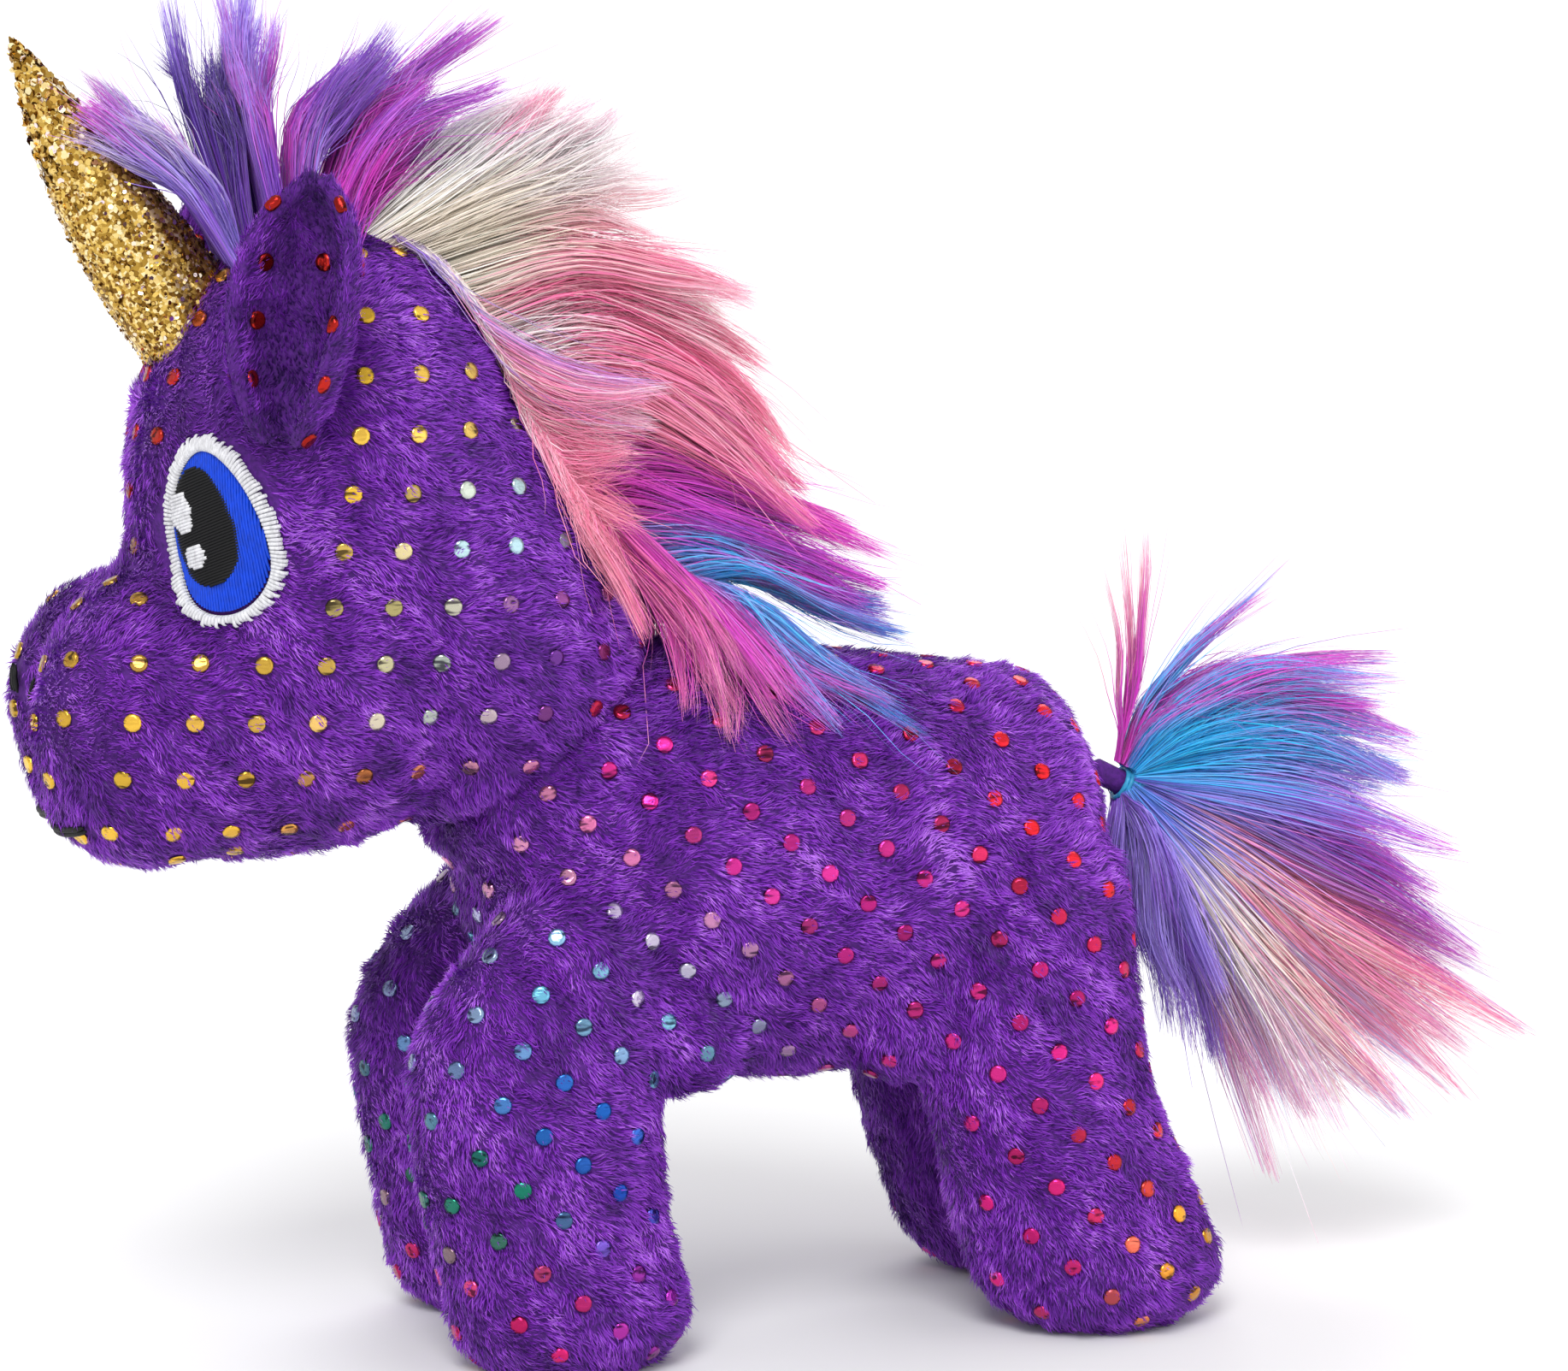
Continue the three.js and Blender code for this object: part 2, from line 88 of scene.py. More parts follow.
# ---- Mesh helpers ----
def mesh_object(name, points, faces, material, smooth=True):
    """points in millimetres from ORIGIN; faces is a list of arrays of equal-sided faces."""
    mesh = bpy.data.meshes.new(name)
    points = (np.asarray(points, float) + ORIGIN) * MM
    faces = [np.asarray(f, np.int32) for f in (faces if isinstance(faces, list) else [faces]) if len(f)]
    mesh.vertices.add(len(points))
    mesh.vertices.foreach_set("co", points.ravel())
    sizes = np.concatenate([np.full(len(f), f.shape[1]) for f in faces])
    mesh.loops.add(int(sizes.sum()))
    mesh.loops.foreach_set("vertex_index", np.concatenate([f.ravel() for f in faces]))
    mesh.polygons.add(len(sizes))
    mesh.polygons.foreach_set("loop_start", (np.cumsum(sizes) - sizes).astype(np.int32))
    mesh.update(calc_edges=True)
    mesh.polygons.foreach_set("use_smooth", np.full(len(sizes), smooth))
    piece = bpy.data.objects.new(name, mesh)
    bpy.context.scene.collection.objects.link(piece)
    if material:
        mesh.materials.append(material)
    return piece


def mesh_arrays(piece):
    """Points (millimetres from ORIGIN), triangles and vertex normals."""
    mesh = piece.data
    mesh.calc_loop_triangles()
    points = np.empty(len(mesh.vertices) * 3)
    mesh.vertices.foreach_get("co", points)
    normals = np.empty(len(mesh.vertices) * 3, np.float32)
    mesh.vertex_normals.foreach_get("vector", normals)
    triangles = np.empty(len(mesh.loop_triangles) * 3, np.int32)
    mesh.loop_triangles.foreach_get("vertices", triangles)
    return points.reshape(-1, 3) / MM - ORIGIN, triangles.reshape(-1, 3), normals.reshape(-1, 3).astype(float)


def set_points(piece, points):
    piece.data.vertices.foreach_set("co", ((points + ORIGIN) * MM).ravel())
    piece.data.update()


def apply_modifiers(piece):
    shape = bpy.data.meshes.new_from_object(piece.evaluated_get(bpy.context.evaluated_depsgraph_get()))
    piece.modifiers.clear()
    old, piece.data = piece.data, shape
    bpy.data.meshes.remove(old)


def ball(centre, half, across=28, along=18):
    lat = np.linspace(0, np.pi, along + 1)[1:-1, None]
    lon = np.linspace(0, 2 * np.pi, across, endpoint=False)[None]
    ring = np.stack(np.broadcast_arrays(np.sin(lat) * np.cos(lon), np.sin(lat) * np.sin(lon), np.cos(lat)), -1)
    points = np.concatenate([[[0, 0, 1]], ring.reshape(-1, 3), [[0, 0, -1]]]) * half + centre
    i, j = np.meshgrid(np.arange(along - 2), np.arange(across), indexing="ij")
    a = 1 + i * across + j
    b = 1 + i * across + (j + 1) % across
    quads = np.stack([a, a + across, b + across, b], -1).reshape(-1, 4)
    j = np.arange(across)
    top = np.stack([np.zeros_like(j), 1 + j, 1 + (j + 1) % across], -1)
    last = len(points) - 1
    low = last - across
    bottom = np.stack([np.full_like(j, last), low + (j + 1) % across, low + j], -1)
    return points, [quads, np.concatenate([top, bottom])]


def spline(rows, count):
    """A smooth path through the rows of a table, with count rows."""
    rows = np.asarray(rows, float)
    padded = np.concatenate([[2 * rows[0] - rows[1]], rows, [2 * rows[-1] - rows[-2]]])
    at = np.linspace(0, len(rows) - 1, count)
    i = np.minimum(at.astype(int), len(rows) - 2)
    t = (at - i)[:, None]
    a, b, c, d = padded[i], padded[i + 1], padded[i + 2], padded[i + 3]
    return 0.5 * (2 * b + (c - a) * t + (2 * a - 5 * b + 4 * c - d) * t**2 + (3 * b - a - 3 * c + d) * t**3)


def swelling(stations, count=22):
    """Balls along a path: each station is x, y, z and the three half sizes."""
    return [ball(row[:3], row[3:]) for row in spline(stations, count)]


def fused(name, parts, voxel=VOXEL, smooth=12):
    """One smooth closed surface round overlapping closed parts."""
    points, faces, start = [], [], 0
    for part_points, part_faces in parts:
        points.append(part_points)
        faces += [f + start for f in part_faces]
        start += len(part_points)
    piece = mesh_object(name, np.concatenate(points), faces, None)
    remesh = piece.modifiers.new("skin", "REMESH")
    remesh.mode, remesh.voxel_size = "VOXEL", voxel * MM
    relax = piece.modifiers.new("relax", "SMOOTH")
    relax.factor, relax.iterations = 0.5, smooth
    apply_modifiers(piece)
    return piece


def part_of(name, piece_arrays, keep, material):
    """The faces of a surface for which keep is true, as a piece of its own."""
    points, triangles, _ = piece_arrays
    chosen = triangles[keep]
    used, index = np.unique(chosen, return_inverse=True)
    return mesh_object(name, points[used], index.reshape(-1, 3), material)


def drop(piece):
    bpy.data.objects.remove(piece)


def waves(points, size, seed):
    """Smooth random values between about -1 and 1, with features of the given size."""
    source = np.random.default_rng(seed)
    total = np.zeros(len(points))
    for octave in range(6):
        way = unit(source.normal(size=3)) / size * source.uniform(0.7, 1.5)
        total += np.sin(2 * np.pi * points @ way + source.uniform(0, 2 * np.pi))
    return total / 2.6


# ---- Materials ----
def material(name, roughness=0.5, **inputs):
    made = bpy.data.materials.new(name)
    made.use_nodes = True
    shader = made.node_tree.nodes["Principled BSDF"]
    shader.inputs["Roughness"].default_value = roughness
    for key, value in inputs.items():
        shader.inputs[key.replace("_", " ")].default_value = value
    return made, made.node_tree, shader


def add(tree, kind, links=(), **values):
    node = tree.nodes.new(kind)
    for key, value in values.items():
        if key in node.inputs.keys():
            node.inputs[key].default_value = value
        else:
            setattr(node, key, value)
    for source, key in links:
        tree.links.new(source, node.inputs[key])
    return node


def ramp(tree, factor, stops):
    node = tree.nodes.new("ShaderNodeValToRGB")
    while len(node.color_ramp.elements) < len(stops):
        node.color_ramp.elements.new(0.5)
    for element, (at, colour) in zip(node.color_ramp.elements, stops):
        element.position, element.color = at, (*colour, 1)
    tree.links.new(factor, node.inputs["Fac"])
    return node.outputs["Color"]


def noise(tree, scale, detail=3.0, stretch=(1, 1, 1)):
    place = add(tree, "ShaderNodeTexCoord").outputs["Object"]
    mapped = add(tree, "ShaderNodeMapping", [(place, "Vector")])
    mapped.inputs["Scale"].default_value = stretch
    return add(tree, "ShaderNodeTexNoise", [(mapped.outputs["Vector"], "Vector")], Scale=scale, Detail=detail).outputs["Fac"]


def bump(tree, shader, height, strength, distance):
    node = add(tree, "ShaderNodeBump", [(height, "Height")], Strength=strength, Distance=distance)
    tree.links.new(node.outputs["Normal"], shader.inputs["Normal"])


def pile_material():
    made, tree, shader = material("purple_pile", 0.5, Sheen_Weight=0.24, Sheen_Roughness=0.4)
    shader.inputs["Specular IOR Level"].default_value = 0.35
    shader.inputs["Sheen Tint"].default_value = (0.75, 0.5, 1, 1)
    tone = add(tree, "ShaderNodeAttribute", attribute_name="tone").outputs["Fac"]
    patch = noise(tree, 160)
    mixed = add(tree, "ShaderNodeMath", [(patch, 0)], operation="MULTIPLY_ADD")
    mixed.inputs[1].default_value = 0.35
    tree.links.new(tone, mixed.inputs[2])
    stops = [(0.08, (0.03, 0.002, 0.1)), (0.42, (0.135, 0.009, 0.34)), (0.74, (0.27, 0.033, 0.58)), (1.0, (0.5, 0.16, 0.84))]
    tree.links.new(ramp(tree, mixed.outputs["Value"], stops), shader.inputs["Base Color"])
    return made


def backing_material():
    made, tree, shader = material("purple_backing", 0.9)
    stops = [(0.3, (0.05, 0.005, 0.13)), (0.7, (0.1, 0.01, 0.24))]
    fine = noise(tree, 1500)
    tree.links.new(ramp(tree, fine, stops), shader.inputs["Base Color"])
    bump(tree, shader, fine, 0.6, 0.0004)
    return made


def foil_material():
    made, tree, shader = material("foil", 0.24, Metallic=0.85)
    tint = add(tree, "ShaderNodeAttribute", attribute_name="foil").outputs["Color"]
    streaks = noise(tree, 900, 2, (0.25, 1, 1))
    gaps = ramp(tree, streaks, [(0.36, (0.02, 0.004, 0.06)), (0.44, (1, 1, 1))])
    mixed = add(tree, "ShaderNodeMix", data_type="RGBA", blend_type="MULTIPLY")
    mixed.inputs["Factor"].default_value = 0.85
    tree.links.new(tint, mixed.inputs["A"])
    tree.links.new(gaps, mixed.inputs["B"])
    tree.links.new(mixed.outputs["Result"], shader.inputs["Base Color"])
    bump(tree, shader, streaks, 0.7, 0.0003)
    return made


def fur_material():
    made, tree, shader = material("long_fur", 0.45, Sheen_Weight=0.55)
    shader.inputs["Specular IOR Level"].default_value = 0.45
    tint = add(tree, "ShaderNodeAttribute", attribute_name="hair").outputs["Color"]
    shade = ramp(tree, noise(tree, 700), [(0.3, (0.86, 0.86, 0.86)), (0.7, (1, 1, 1))])
    mixed = add(tree, "ShaderNodeMix", data_type="RGBA", blend_type="MULTIPLY")
    mixed.inputs["Factor"].default_value = 1
    tree.links.new(tint, mixed.inputs["A"])
    tree.links.new(shade, mixed.inputs["B"])
    tree.links.new(mixed.outputs["Result"], shader.inputs["Base Color"])
    return made


def thread_material(name, colour, gloss=0.42):
    made, tree, shader = material(name, gloss)
    shader.inputs["Specular IOR Level"].default_value = 0.3
    low = tuple(c * 0.7 for c in colour)
    twist = noise(tree, 2500, 2, (1, 1, 0.4))
    tree.links.new(ramp(tree, twist, [(0.3, low), (0.65, colour)]), shader.inputs["Base Color"])
    bump(tree, shader, twist, 0.35, 0.0002)
    return made


def glitter_material():
    made, tree, shader = material("gold_glitter", 0.3, Metallic=0.9)
    cells = add(tree, "ShaderNodeTexVoronoi", Scale=1900.0)
    place = add(tree, "ShaderNodeTexCoord").outputs["Object"]
    tree.links.new(place, cells.inputs["Vector"])
    stops = [(0.0, (0.16, 0.07, 0.008)), (0.35, (0.45, 0.26, 0.04)), (0.7, (0.85, 0.58, 0.14)), (1, (1, 0.86, 0.5))]
    parted = add(tree, "ShaderNodeSeparateColor", [(cells.outputs["Color"], "Color")])
    tree.links.new(ramp(tree, parted.outputs["Red"], stops), shader.inputs["Base Color"])
    rough = ramp(tree, parted.outputs["Green"], [(0, (0.12,) * 3), (1, (0.5,) * 3)])
    tree.links.new(rough, shader.inputs["Roughness"])
    bump(tree, shader, parted.outputs["Blue"], 0.8, 0.0003)
    return made


PURPLE = pile_material()
BACKING = backing_material()
FOIL = foil_material()
FUR = fur_material()
GLITTER = glitter_material()
WHITE = thread_material("white_thread", (0.74, 0.74, 0.77))
BLUE = thread_material("blue_thread", (0.002, 0.06, 0.66))
BLACK = thread_material("black_thread", (0.003, 0.003, 0.004), 0.6)
TURQUOISE = thread_material("turquoise_thread", (0.05, 0.42, 0.72))


# ---- Camera, light and floor ----
def add_camera():
    yaw, rise, distance, seen_width = np.radians(17), np.radians(8), 650, 201.7
    target = np.array([ORIGIN[0], 0, 82.5])
    ahead = np.array([np.sin(yaw) * np.cos(rise), np.cos(yaw) * np.cos(rise), -np.sin(rise)])
    data = bpy.data.cameras.new("camera")
    data.sensor_width = 36
    data.lens = data.sensor_width * distance / seen_width
    camera = bpy.data.objects.new("camera", data)
    camera.location = Vector((target - ahead * distance) * MM)
    camera.rotation_mode = "QUATERNION"
    camera.rotation_quaternion = Vector(ahead).to_track_quat("-Z", "Y")
    data.clip_start, data.clip_end = 0.01, 200
    bpy.context.scene.collection.objects.link(camera)
    bpy.context.scene.camera = camera


def add_sun(name, place, strength, spread):
    """A far soft light that shines from place towards the middle."""
    data = bpy.data.lights.new(name, "SUN")
    data.energy, data.angle = strength, np.radians(spread)
    light = bpy.data.objects.new(name, data)
    light.location = place
    light.rotation_mode = "QUATERNION"
    light.rotation_quaternion = (-Vector(place)).to_track_quat("-Z", "Y")
    bpy.context.scene.collection.objects.link(light)


def add_studio():
    add_sun("key", (-0.5, -1.0, 1.3), 1.75, 25)
    add_sun("fill", (1.2, -0.9, 0.5), 0.4, 60)
    add_sun("back", (0.5, 1.1, 1.0), 0.9, 40)
    world = bpy.data.worlds.new("studio")
    world.use_nodes = True
    sky, background = world.node_tree, world.node_tree.nodes["Background"]
    away = add(sky, "ShaderNodeTexCoord").outputs["Generated"]
    height = add(sky, "ShaderNodeSeparateXYZ", [(away, "Vector")]).outputs["Z"]
    sky.links.new(ramp(sky, height, [(0.12, (1, 1, 1)), (0.4, (0.73, 0.73, 0.73))]), background.inputs["Color"])
    background.inputs["Strength"].default_value = 1.05
    bpy.context.scene.world = world
    bpy.context.scene.view_settings.view_transform = "Standard"
    made, tree, shader = material("paper", 0.9)
    tone = ramp(tree, noise(tree, 6), [(0, (0.8, 0.8, 0.81)), (1, (0.84, 0.84, 0.84))])
    tree.links.new(tone, shader.inputs["Base Color"])
    corners = np.array([[-1, -1, 0], [1, -1, 0], [1, 1, 0], [-1, 1, 0]]) * 60000.0
    mesh_object("floor", corners, np.array([[0, 1, 2, 3]]), made, smooth=False)


# ---- Foil dots: a slanted grid stamped on the pile, in bands of changing colour ----
FOIL_PLACES = [  # x, z, colour
    (-100, 85, (0.72, 0.42, 0.05)),
    (-92, 78, (0.9, 0.55, 0.06)),
    (-84, 96, (0.62, 0.34, 0.07)),
    (-80, 72, (0.9, 0.52, 0.06)),
    (-78, 122, (0.5, 0.02, 0.02)),
    (-86, 112, (0.45, 0.01, 0.01)),
    (-66, 112, (1.0, 0.62, 0.05)),
    (-60, 128, (1.0, 0.6, 0.05)),
    (-52, 118, (0.95, 0.62, 0.12)),
    (-70, 92, (0.92, 0.56, 0.08)),
    (-58, 96, (0.7, 0.6, 0.25)),
    (-44, 106, (0.45, 0.68, 0.75)),
    (-52, 88, (0.6, 0.68, 0.62)),
    (-38, 96, (0.25, 0.05, 0.25)),
    (-34, 88, (0.12, 0.03, 0.28)),
    (-56, 72, (0.75, 0.2, 0.03)),
    (-44, 70, (0.75, 0.3, 0.5)),
    (-28, 84, (0.6, 0.02, 0.06)),
    (-24, 76, (0.95, 0.03, 0.38)),
    (-38, 62, (0.75, 0.3, 0.5)),
    (-36, 52, (0.15, 0.5, 0.7)),
    (-14, 80, (0.75, 0.05, 0.2)),
    (-10, 66, (0.8, 0.03, 0.35)),
    (4, 56, (0.6, 0.02, 0.25)),
    (10, 84, (0.5, 0.01, 0.06)),
    (30, 72, (0.85, 0.02, 0.03)),
    (40, 60, (0.75, 0.02, 0.03)),
    (-24, 48, (0.65, 0.55, 0.7)),
    (-22, 42, (0.2, 0.55, 0.75)),
    (-34, 34, (0.02, 0.2, 0.85)),
    (-28, 24, (0.02, 0.12, 0.75)),
    (-44, 24, (0.01, 0.2, 0.12)),
    (-24, 12, (0.4, 0.03, 0.45)),
    (-40, 8, (0.8, 0.02, 0.18)),
    (16, 36, (0.55, 0.02, 0.2)),
    (28, 40, (0.75, 0.02, 0.25)),
    (24, 16, (0.85, 0.02, 0.25)),
    (38, 26, (0.8, 0.03, 0.05)),
    (50, 14, (0.9, 0.4, 0.03)),
]


def foil_colour(points, seed, ear=False):
    if ear:
        points = points * 0 + (-84, 0, 116)
    places = np.array([[x, z] for x, z, _ in FOIL_PLACES], float)
    colours = np.array([c for _, _, c in FOIL_PLACES])
    apart = ((points[:, None, [0, 2]] - places[None]) ** 2).sum(-1)
    share = 1 / (apart + 6) ** 2
    mixed = (share @ colours) / share.sum(1, keepdims=True)
    glint = np.random.default_rng(seed).uniform(0.5, 1.1, (len(points), 1))
    return np.clip(mixed * glint, 0, 1)


def lattice(grid, low, high):
    a, b = np.array(grid)
    i, j = np.meshgrid(np.arange(-40, 41), np.arange(-40, 41))
    spots = i.ravel()[:, None] * a + j.ravel()[:, None] * b
    inside = ((spots > low) & (spots < high)).all(1)
    return spots[inside]


def dot_places(grid, tree, low, high):
    """Where the grid meets the surface from each of the six sides, no two closer than the grid allows."""
    found = []
    for axis, limit in ((1, 0.42), (0, 0.55), (2, 0.6)):
        others = [k for k in range(3) if k != axis]
        for way in (1, -1):
            for spot in lattice(grid, low[others], high[others]):
                start = np.zeros(3)
                start[others] = spot
                start[axis] = high[axis] + 20 if way < 0 else low[axis] - 20
                ray = np.zeros(3)
                ray[axis] = way
                hit, normal, _, _ = tree.ray_cast(Vector(start), Vector(ray))
                if hit is None or -way * normal[axis] < limit:
                    continue
                if all((Vector(other) - hit).length > DOT["apart"] for other, _ in found):
                    found.append((tuple(hit), tuple(normal)))
    return found


def disc(tree, centre, normal, radius, lift):
    """A small disc that follows the surface."""
    normal = unit(normal)
    side = unit(np.cross(normal, [0.3, 0.2, 0.9]))
    up = np.cross(normal, side)
    rim = 12
    angle = np.linspace(0, 2 * np.pi, rim, endpoint=False)
    flat = np.concatenate([[[0, 0]], *[np.stack([np.cos(angle), np.sin(angle)], 1) * r for r in (0.55, 0.92, 1.0)]])
    points = []
    for n, (u, v) in enumerate(flat * radius):
        at = centre + side * u + up * v
        hit, _, _, _ = tree.find_nearest(Vector(at))
        sink = 0.35 if n > 2 * rim else 0
        points.append(np.array(hit) + normal * (lift - sink))
    k = np.arange(rim)
    after = (k + 1) % rim
    fan = np.stack([np.zeros_like(k), 1 + k, 1 + after], 1)
    rings = [np.stack([s + k, s + rim + k, s + rim + after, s + after], 1) for s in (1, 1 + rim)]
    return np.array(points), fan, np.concatenate(rings)


def add_dots(name, tree, spots, colours, where=None):
    points, fans, quads, tints, start = [], [], [], [], 0
    for (centre, normal), colour in zip(spots, colours):
        p, fan, quad = disc(tree, np.array(centre), np.array(normal), DOT["radius"], DOT["raise"])
        points.append(p)
        fans.append(fan + start)
        quads.append(quad + start)
        tints.append(np.repeat([[*colour, 1]], len(p), 0))
        start += len(p)
    if not points:
        return None
    piece = mesh_object(name, np.concatenate(points), [np.concatenate(fans), np.concatenate(quads)], FOIL)
    tint = piece.data.color_attributes.new("foil", "FLOAT_COLOR", "POINT")
    tint.data.foreach_set("color", np.concatenate(tints).ravel())
    return piece


# ---- Pile and long hair are narrow tapered blades ----
def blades(name, paths, widths, sides, look, tint_name, tint):
    """paths (n, m, 3), widths (m,) or (n, m) with a point at the end, sides (n, 3) or (n, m, 3)."""
    n, m, _ = paths.shape
    widths = np.broadcast_to(widths, (n, m))
    if sides.ndim == 2:
        sides = np.broadcast_to(sides[:, None], (n, m, 3))
    half = sides * widths[..., None] / 2
    pairs = np.stack([paths[:, :-1] - half[:, :-1], paths[:, :-1] + half[:, :-1]], 2).reshape(n, 2 * (m - 1), 3)
    points = np.concatenate([pairs, paths[:, -1:]], 1)
    base = (np.arange(n) * (2 * m - 1))[:, None, None]
    step = 2 * np.arange(m - 2)[None, :, None]
    quads = (base + step + np.array([0, 1, 3, 2])).reshape(-1, 4)
    last = 2 * (m - 2)
    tips = (base[:, 0] + np.array([last, last + 1, last + 2])).reshape(-1, 3)
    piece = mesh_object(name, points.reshape(-1, 3), [quads, tips], look)
    along = np.concatenate([np.repeat(np.arange(m - 1), 2), [m - 1]])
    values = tint[:, along] if tint.ndim >= 2 else np.broadcast_to(tint[:, None], (n, 2 * m - 1))
    if tint.ndim == 3:
        layer = piece.data.color_attributes.new(tint_name, "FLOAT_COLOR", "POINT")
        full = np.concatenate([values, np.ones((*values.shape[:2], 1))], -1)
        layer.data.foreach_set("color", full.astype(np.float32).ravel())
    else:
        layer = piece.data.attributes.new(tint_name, "FLOAT", "POINT")
        layer.data.foreach_set("value", values.astype(np.float32).ravel())
    return piece


def scatter(arrays, per_mm2, seed):
    points, triangles, normals = arrays
    a, b, c = (points[triangles[:, k]] for k in range(3))
    area = np.linalg.norm(np.cross(b - a, c - a), axis=1) / 2
    source = np.random.default_rng(seed)
    count = int(area.sum() * per_mm2)
    chosen = source.choice(len(triangles), count, p=area / area.sum())
    u, v = source.uniform(size=(2, count))
    flip = u + v > 1
    u[flip], v[flip] = 1 - u[flip], 1 - v[flip]
    weights = np.stack([1 - u - v, u, v], 1)
    corner = triangles[chosen]
    at = (points[corner] * weights[..., None]).sum(1)
    normal = unit((normals[corner] * weights[..., None]).sum(1))
    return at, normal, source


def near_any(points, spots, reach):
    tree = KDTree(len(spots))
    for k, spot in enumerate(spots):
        tree.insert(spot, k)
    tree.balance()
    return np.array([tree.find(p)[2] < reach for p in points])


def add_pile(name, arrays, spots, seed, comb=(1, 0, -0.3), length=PILE["length"], density=PILE["per_mm2"], sewn=(), dim=None):
    """Short pile over a surface: combed one way, in small tufts whose tips draw together."""
    at, normal, source = scatter(arrays, density * SHARE, seed)
    keep = np.ones(len(at), bool)
    if spots:
        ahead = at + np.array(comb) * 0.6
        keep = ~near_any(ahead, [centre for centre, _ in spots], DOT["radius"] * 1.05) | (source.uniform(size=len(at)) < 0.2)
    if len(sewn):
        keep &= ~near_any(at, sewn, 0.95)
    at, normal = at[keep], normal[keep]
    way = np.broadcast_to(np.array(comb, float), at.shape)
    way = unit(way - normal * (way * normal).sum(1, keepdims=True) + 1e-6)
    across = np.cross(normal, way)
    swirl = 0.55 * waves(at, 17, 11) + 0.35 * waves(at, 6, 12) + source.normal(0, 0.2, len(at))
    along = unit(way * np.cos(swirl)[:, None] + across * np.sin(swirl)[:, None])
    tall = length * (1 + 0.18 * waves(at, 4, 13) + source.normal(0, 0.16, len(at)))
    lift = np.clip(PILE["lift"] + 0.22 * waves(at, 5, 14) + source.normal(0, 0.14, len(at)), 0.12, 1.2)
    rise, run = (tall * np.sin(lift))[:, None], (tall * np.cos(lift))[:, None]
    tuft = np.round(at / 1.3 + 0.6 * np.stack([waves(at, 3, s) for s in (21, 22, 23)], 1))
    pull = (tuft * 1.3 - at) * 0.35
    pull -= normal * (pull * normal).sum(1, keepdims=True)
    root = at - normal * 0.25
    middle = at + normal * rise * 0.62 + along * run * 0.4 + pull * 0.4
    tip = at + normal * rise + along * run + pull
    roll = source.normal(0, 0.5, len(at))[:, None]
    sides = unit(np.cross(normal, along) * np.cos(roll) + normal * np.sin(roll))
    widths = np.array([1.0, 0.85, 0.0]) * PILE["width"] * (1 if SHARE == 1 else 2)
    shade = 0.3 + 0.1 * waves(at, 21, 17) + 0.13 * waves(at, 9, 15) + 0.12 * waves(at, 2.5, 16) + source.normal(0, 0.09, len(at))
    # Painted shade: each blade is darker at the root, down among the fibres, and lighter towards the tip.
    tone = shade[:, None] + np.array([-0.2, 0.08, 0.26])
    # Painted shade: the blades are darkened where the given function says shade falls, such as inside an ear's fold.
    if dim:
        tone -= dim(at, normal)[:, None]
    path = np.stack([root, middle, tip], 1)
    path[..., 2] = np.maximum(path[..., 2], PILE["floor"])
    piece = blades(name, path, widths, sides, PURPLE, "tone", tone)
    return piece


# ---- The stuffed forms ----
TORSO = [  # x, y, z and the half sizes
    (29.5, 0, 60.2, 12, 21, 23.4),
    (18, 0, 60, 15, 24, 25.5),
    (0, 0, 59.8, 16, 24.5, 27.3),
    (-18, 0, 61.6, 15, 23.5, 27.4),
    (-29, 0, 63, 14, 20.5, 21.5),
]
NECK_FORM = [(-20, 0, 66, 17, 19, 18), (-33.5, 0, 78, 19, 19.5, 19), (-38, 0, 84, 19, 19.5, 19)]
HEAD = [
    [(-60, 0, 110, 24.5, 25.5, 32)],
    [(-60, 0, 110, 24, 25, 31), (-45, 0, 95, 22, 24.5, 22), (-38, 0, 84, 19.5, 20, 18)],
    [(-60, 0, 100, 24, 25, 20), (-66, 0, 85, 26, 24.5, 19.5)],
    [(-66, 0, 84, 26, 24, 19), (-82.5, -7, 83, 15.5, 13.5, 17.3)],
    [(-66, 0, 84, 26, 24, 19), (-82.5, 7, 83, 15.5, 13.5, 17.3)],
    [(-84, -6, 76, 12.5, 13, 11.5)],
    [(-84, 6, 76, 12.5, 13, 11.5)],
]
LEGS = {
    "front": [
        (-32, 52, 10.5, 9.5, 10),
        (-36.5, 42, 15.5, 11, 10),
        (-37.3, 31, 15.8, 12, 9),
        (-35.5, 17, 15.4, 12, 9),
        (-33.2, 7, 15.4, 12.2, 9),
    ],
    "hind": [
        (27, 56, 14, 9.5, 12),
        (27.5, 42, 15, 11, 10),
        (30, 28, 15.2, 12, 9),
        (34.6, 15, 16.3, 12.2, 9),
        (37.8, 7.5, 16.2, 12.4, 8.5),
    ],
}


def whole_form():
    parts = swelling(TORSO) + swelling(NECK_FORM, 8)
    for stations in LEGS.values():
        for side in SIDES.values():
            parts += swelling([(x, side * LEG_SIDE, z, *half) for x, z, *half in stations], 16)
    for rows in HEAD:
        parts += [ball(rows[0][:3], rows[0][3:], 48, 32)] if len(rows) == 1 else swelling(rows, 8)
    for side in SIDES.values():
        parts += [ball((-18, side * 13, 41), (9, 9, 8)), ball((12, side * 13, 41), (9, 9, 8))]
    return fused("form", parts, smooth=15)


def along_neck(points):
    return (points - (NECK - ORIGIN)) @ NECK_AXIS


def seam_groove(points, depth=2.0, width=1.5):
    """The neck seam pulls the cloth in towards the neck's axis."""
    rise = along_neck(points)[:, None]
    out = points - (NECK - ORIGIN) - rise * NECK_AXIS
    near = np.exp(-((rise / width) ** 2)) * (np.linalg.norm(out, axis=1, keepdims=True) < 32)
    return points - unit(out) * near * depth


def flat_soles(points):
    low = points[:, 2] < SOLE
    points[low, 2] = SOLE
    return points


def cut_at_seam(piece):
    """Adds an edge loop along the neck seam."""
    import bmesh

    made = bmesh.new()
    made.from_mesh(piece.data)
    every = made.verts[:] + made.edges[:] + made.faces[:]
    bmesh.ops.bisect_plane(made, geom=every, plane_co=Vector(NECK * MM), plane_no=Vector(NECK_AXIS))
    made.to_mesh(piece.data)
    made.free()


def tree_of(arrays):
    return BVHTree.FromPolygons(arrays[0].tolist(), arrays[1].tolist())


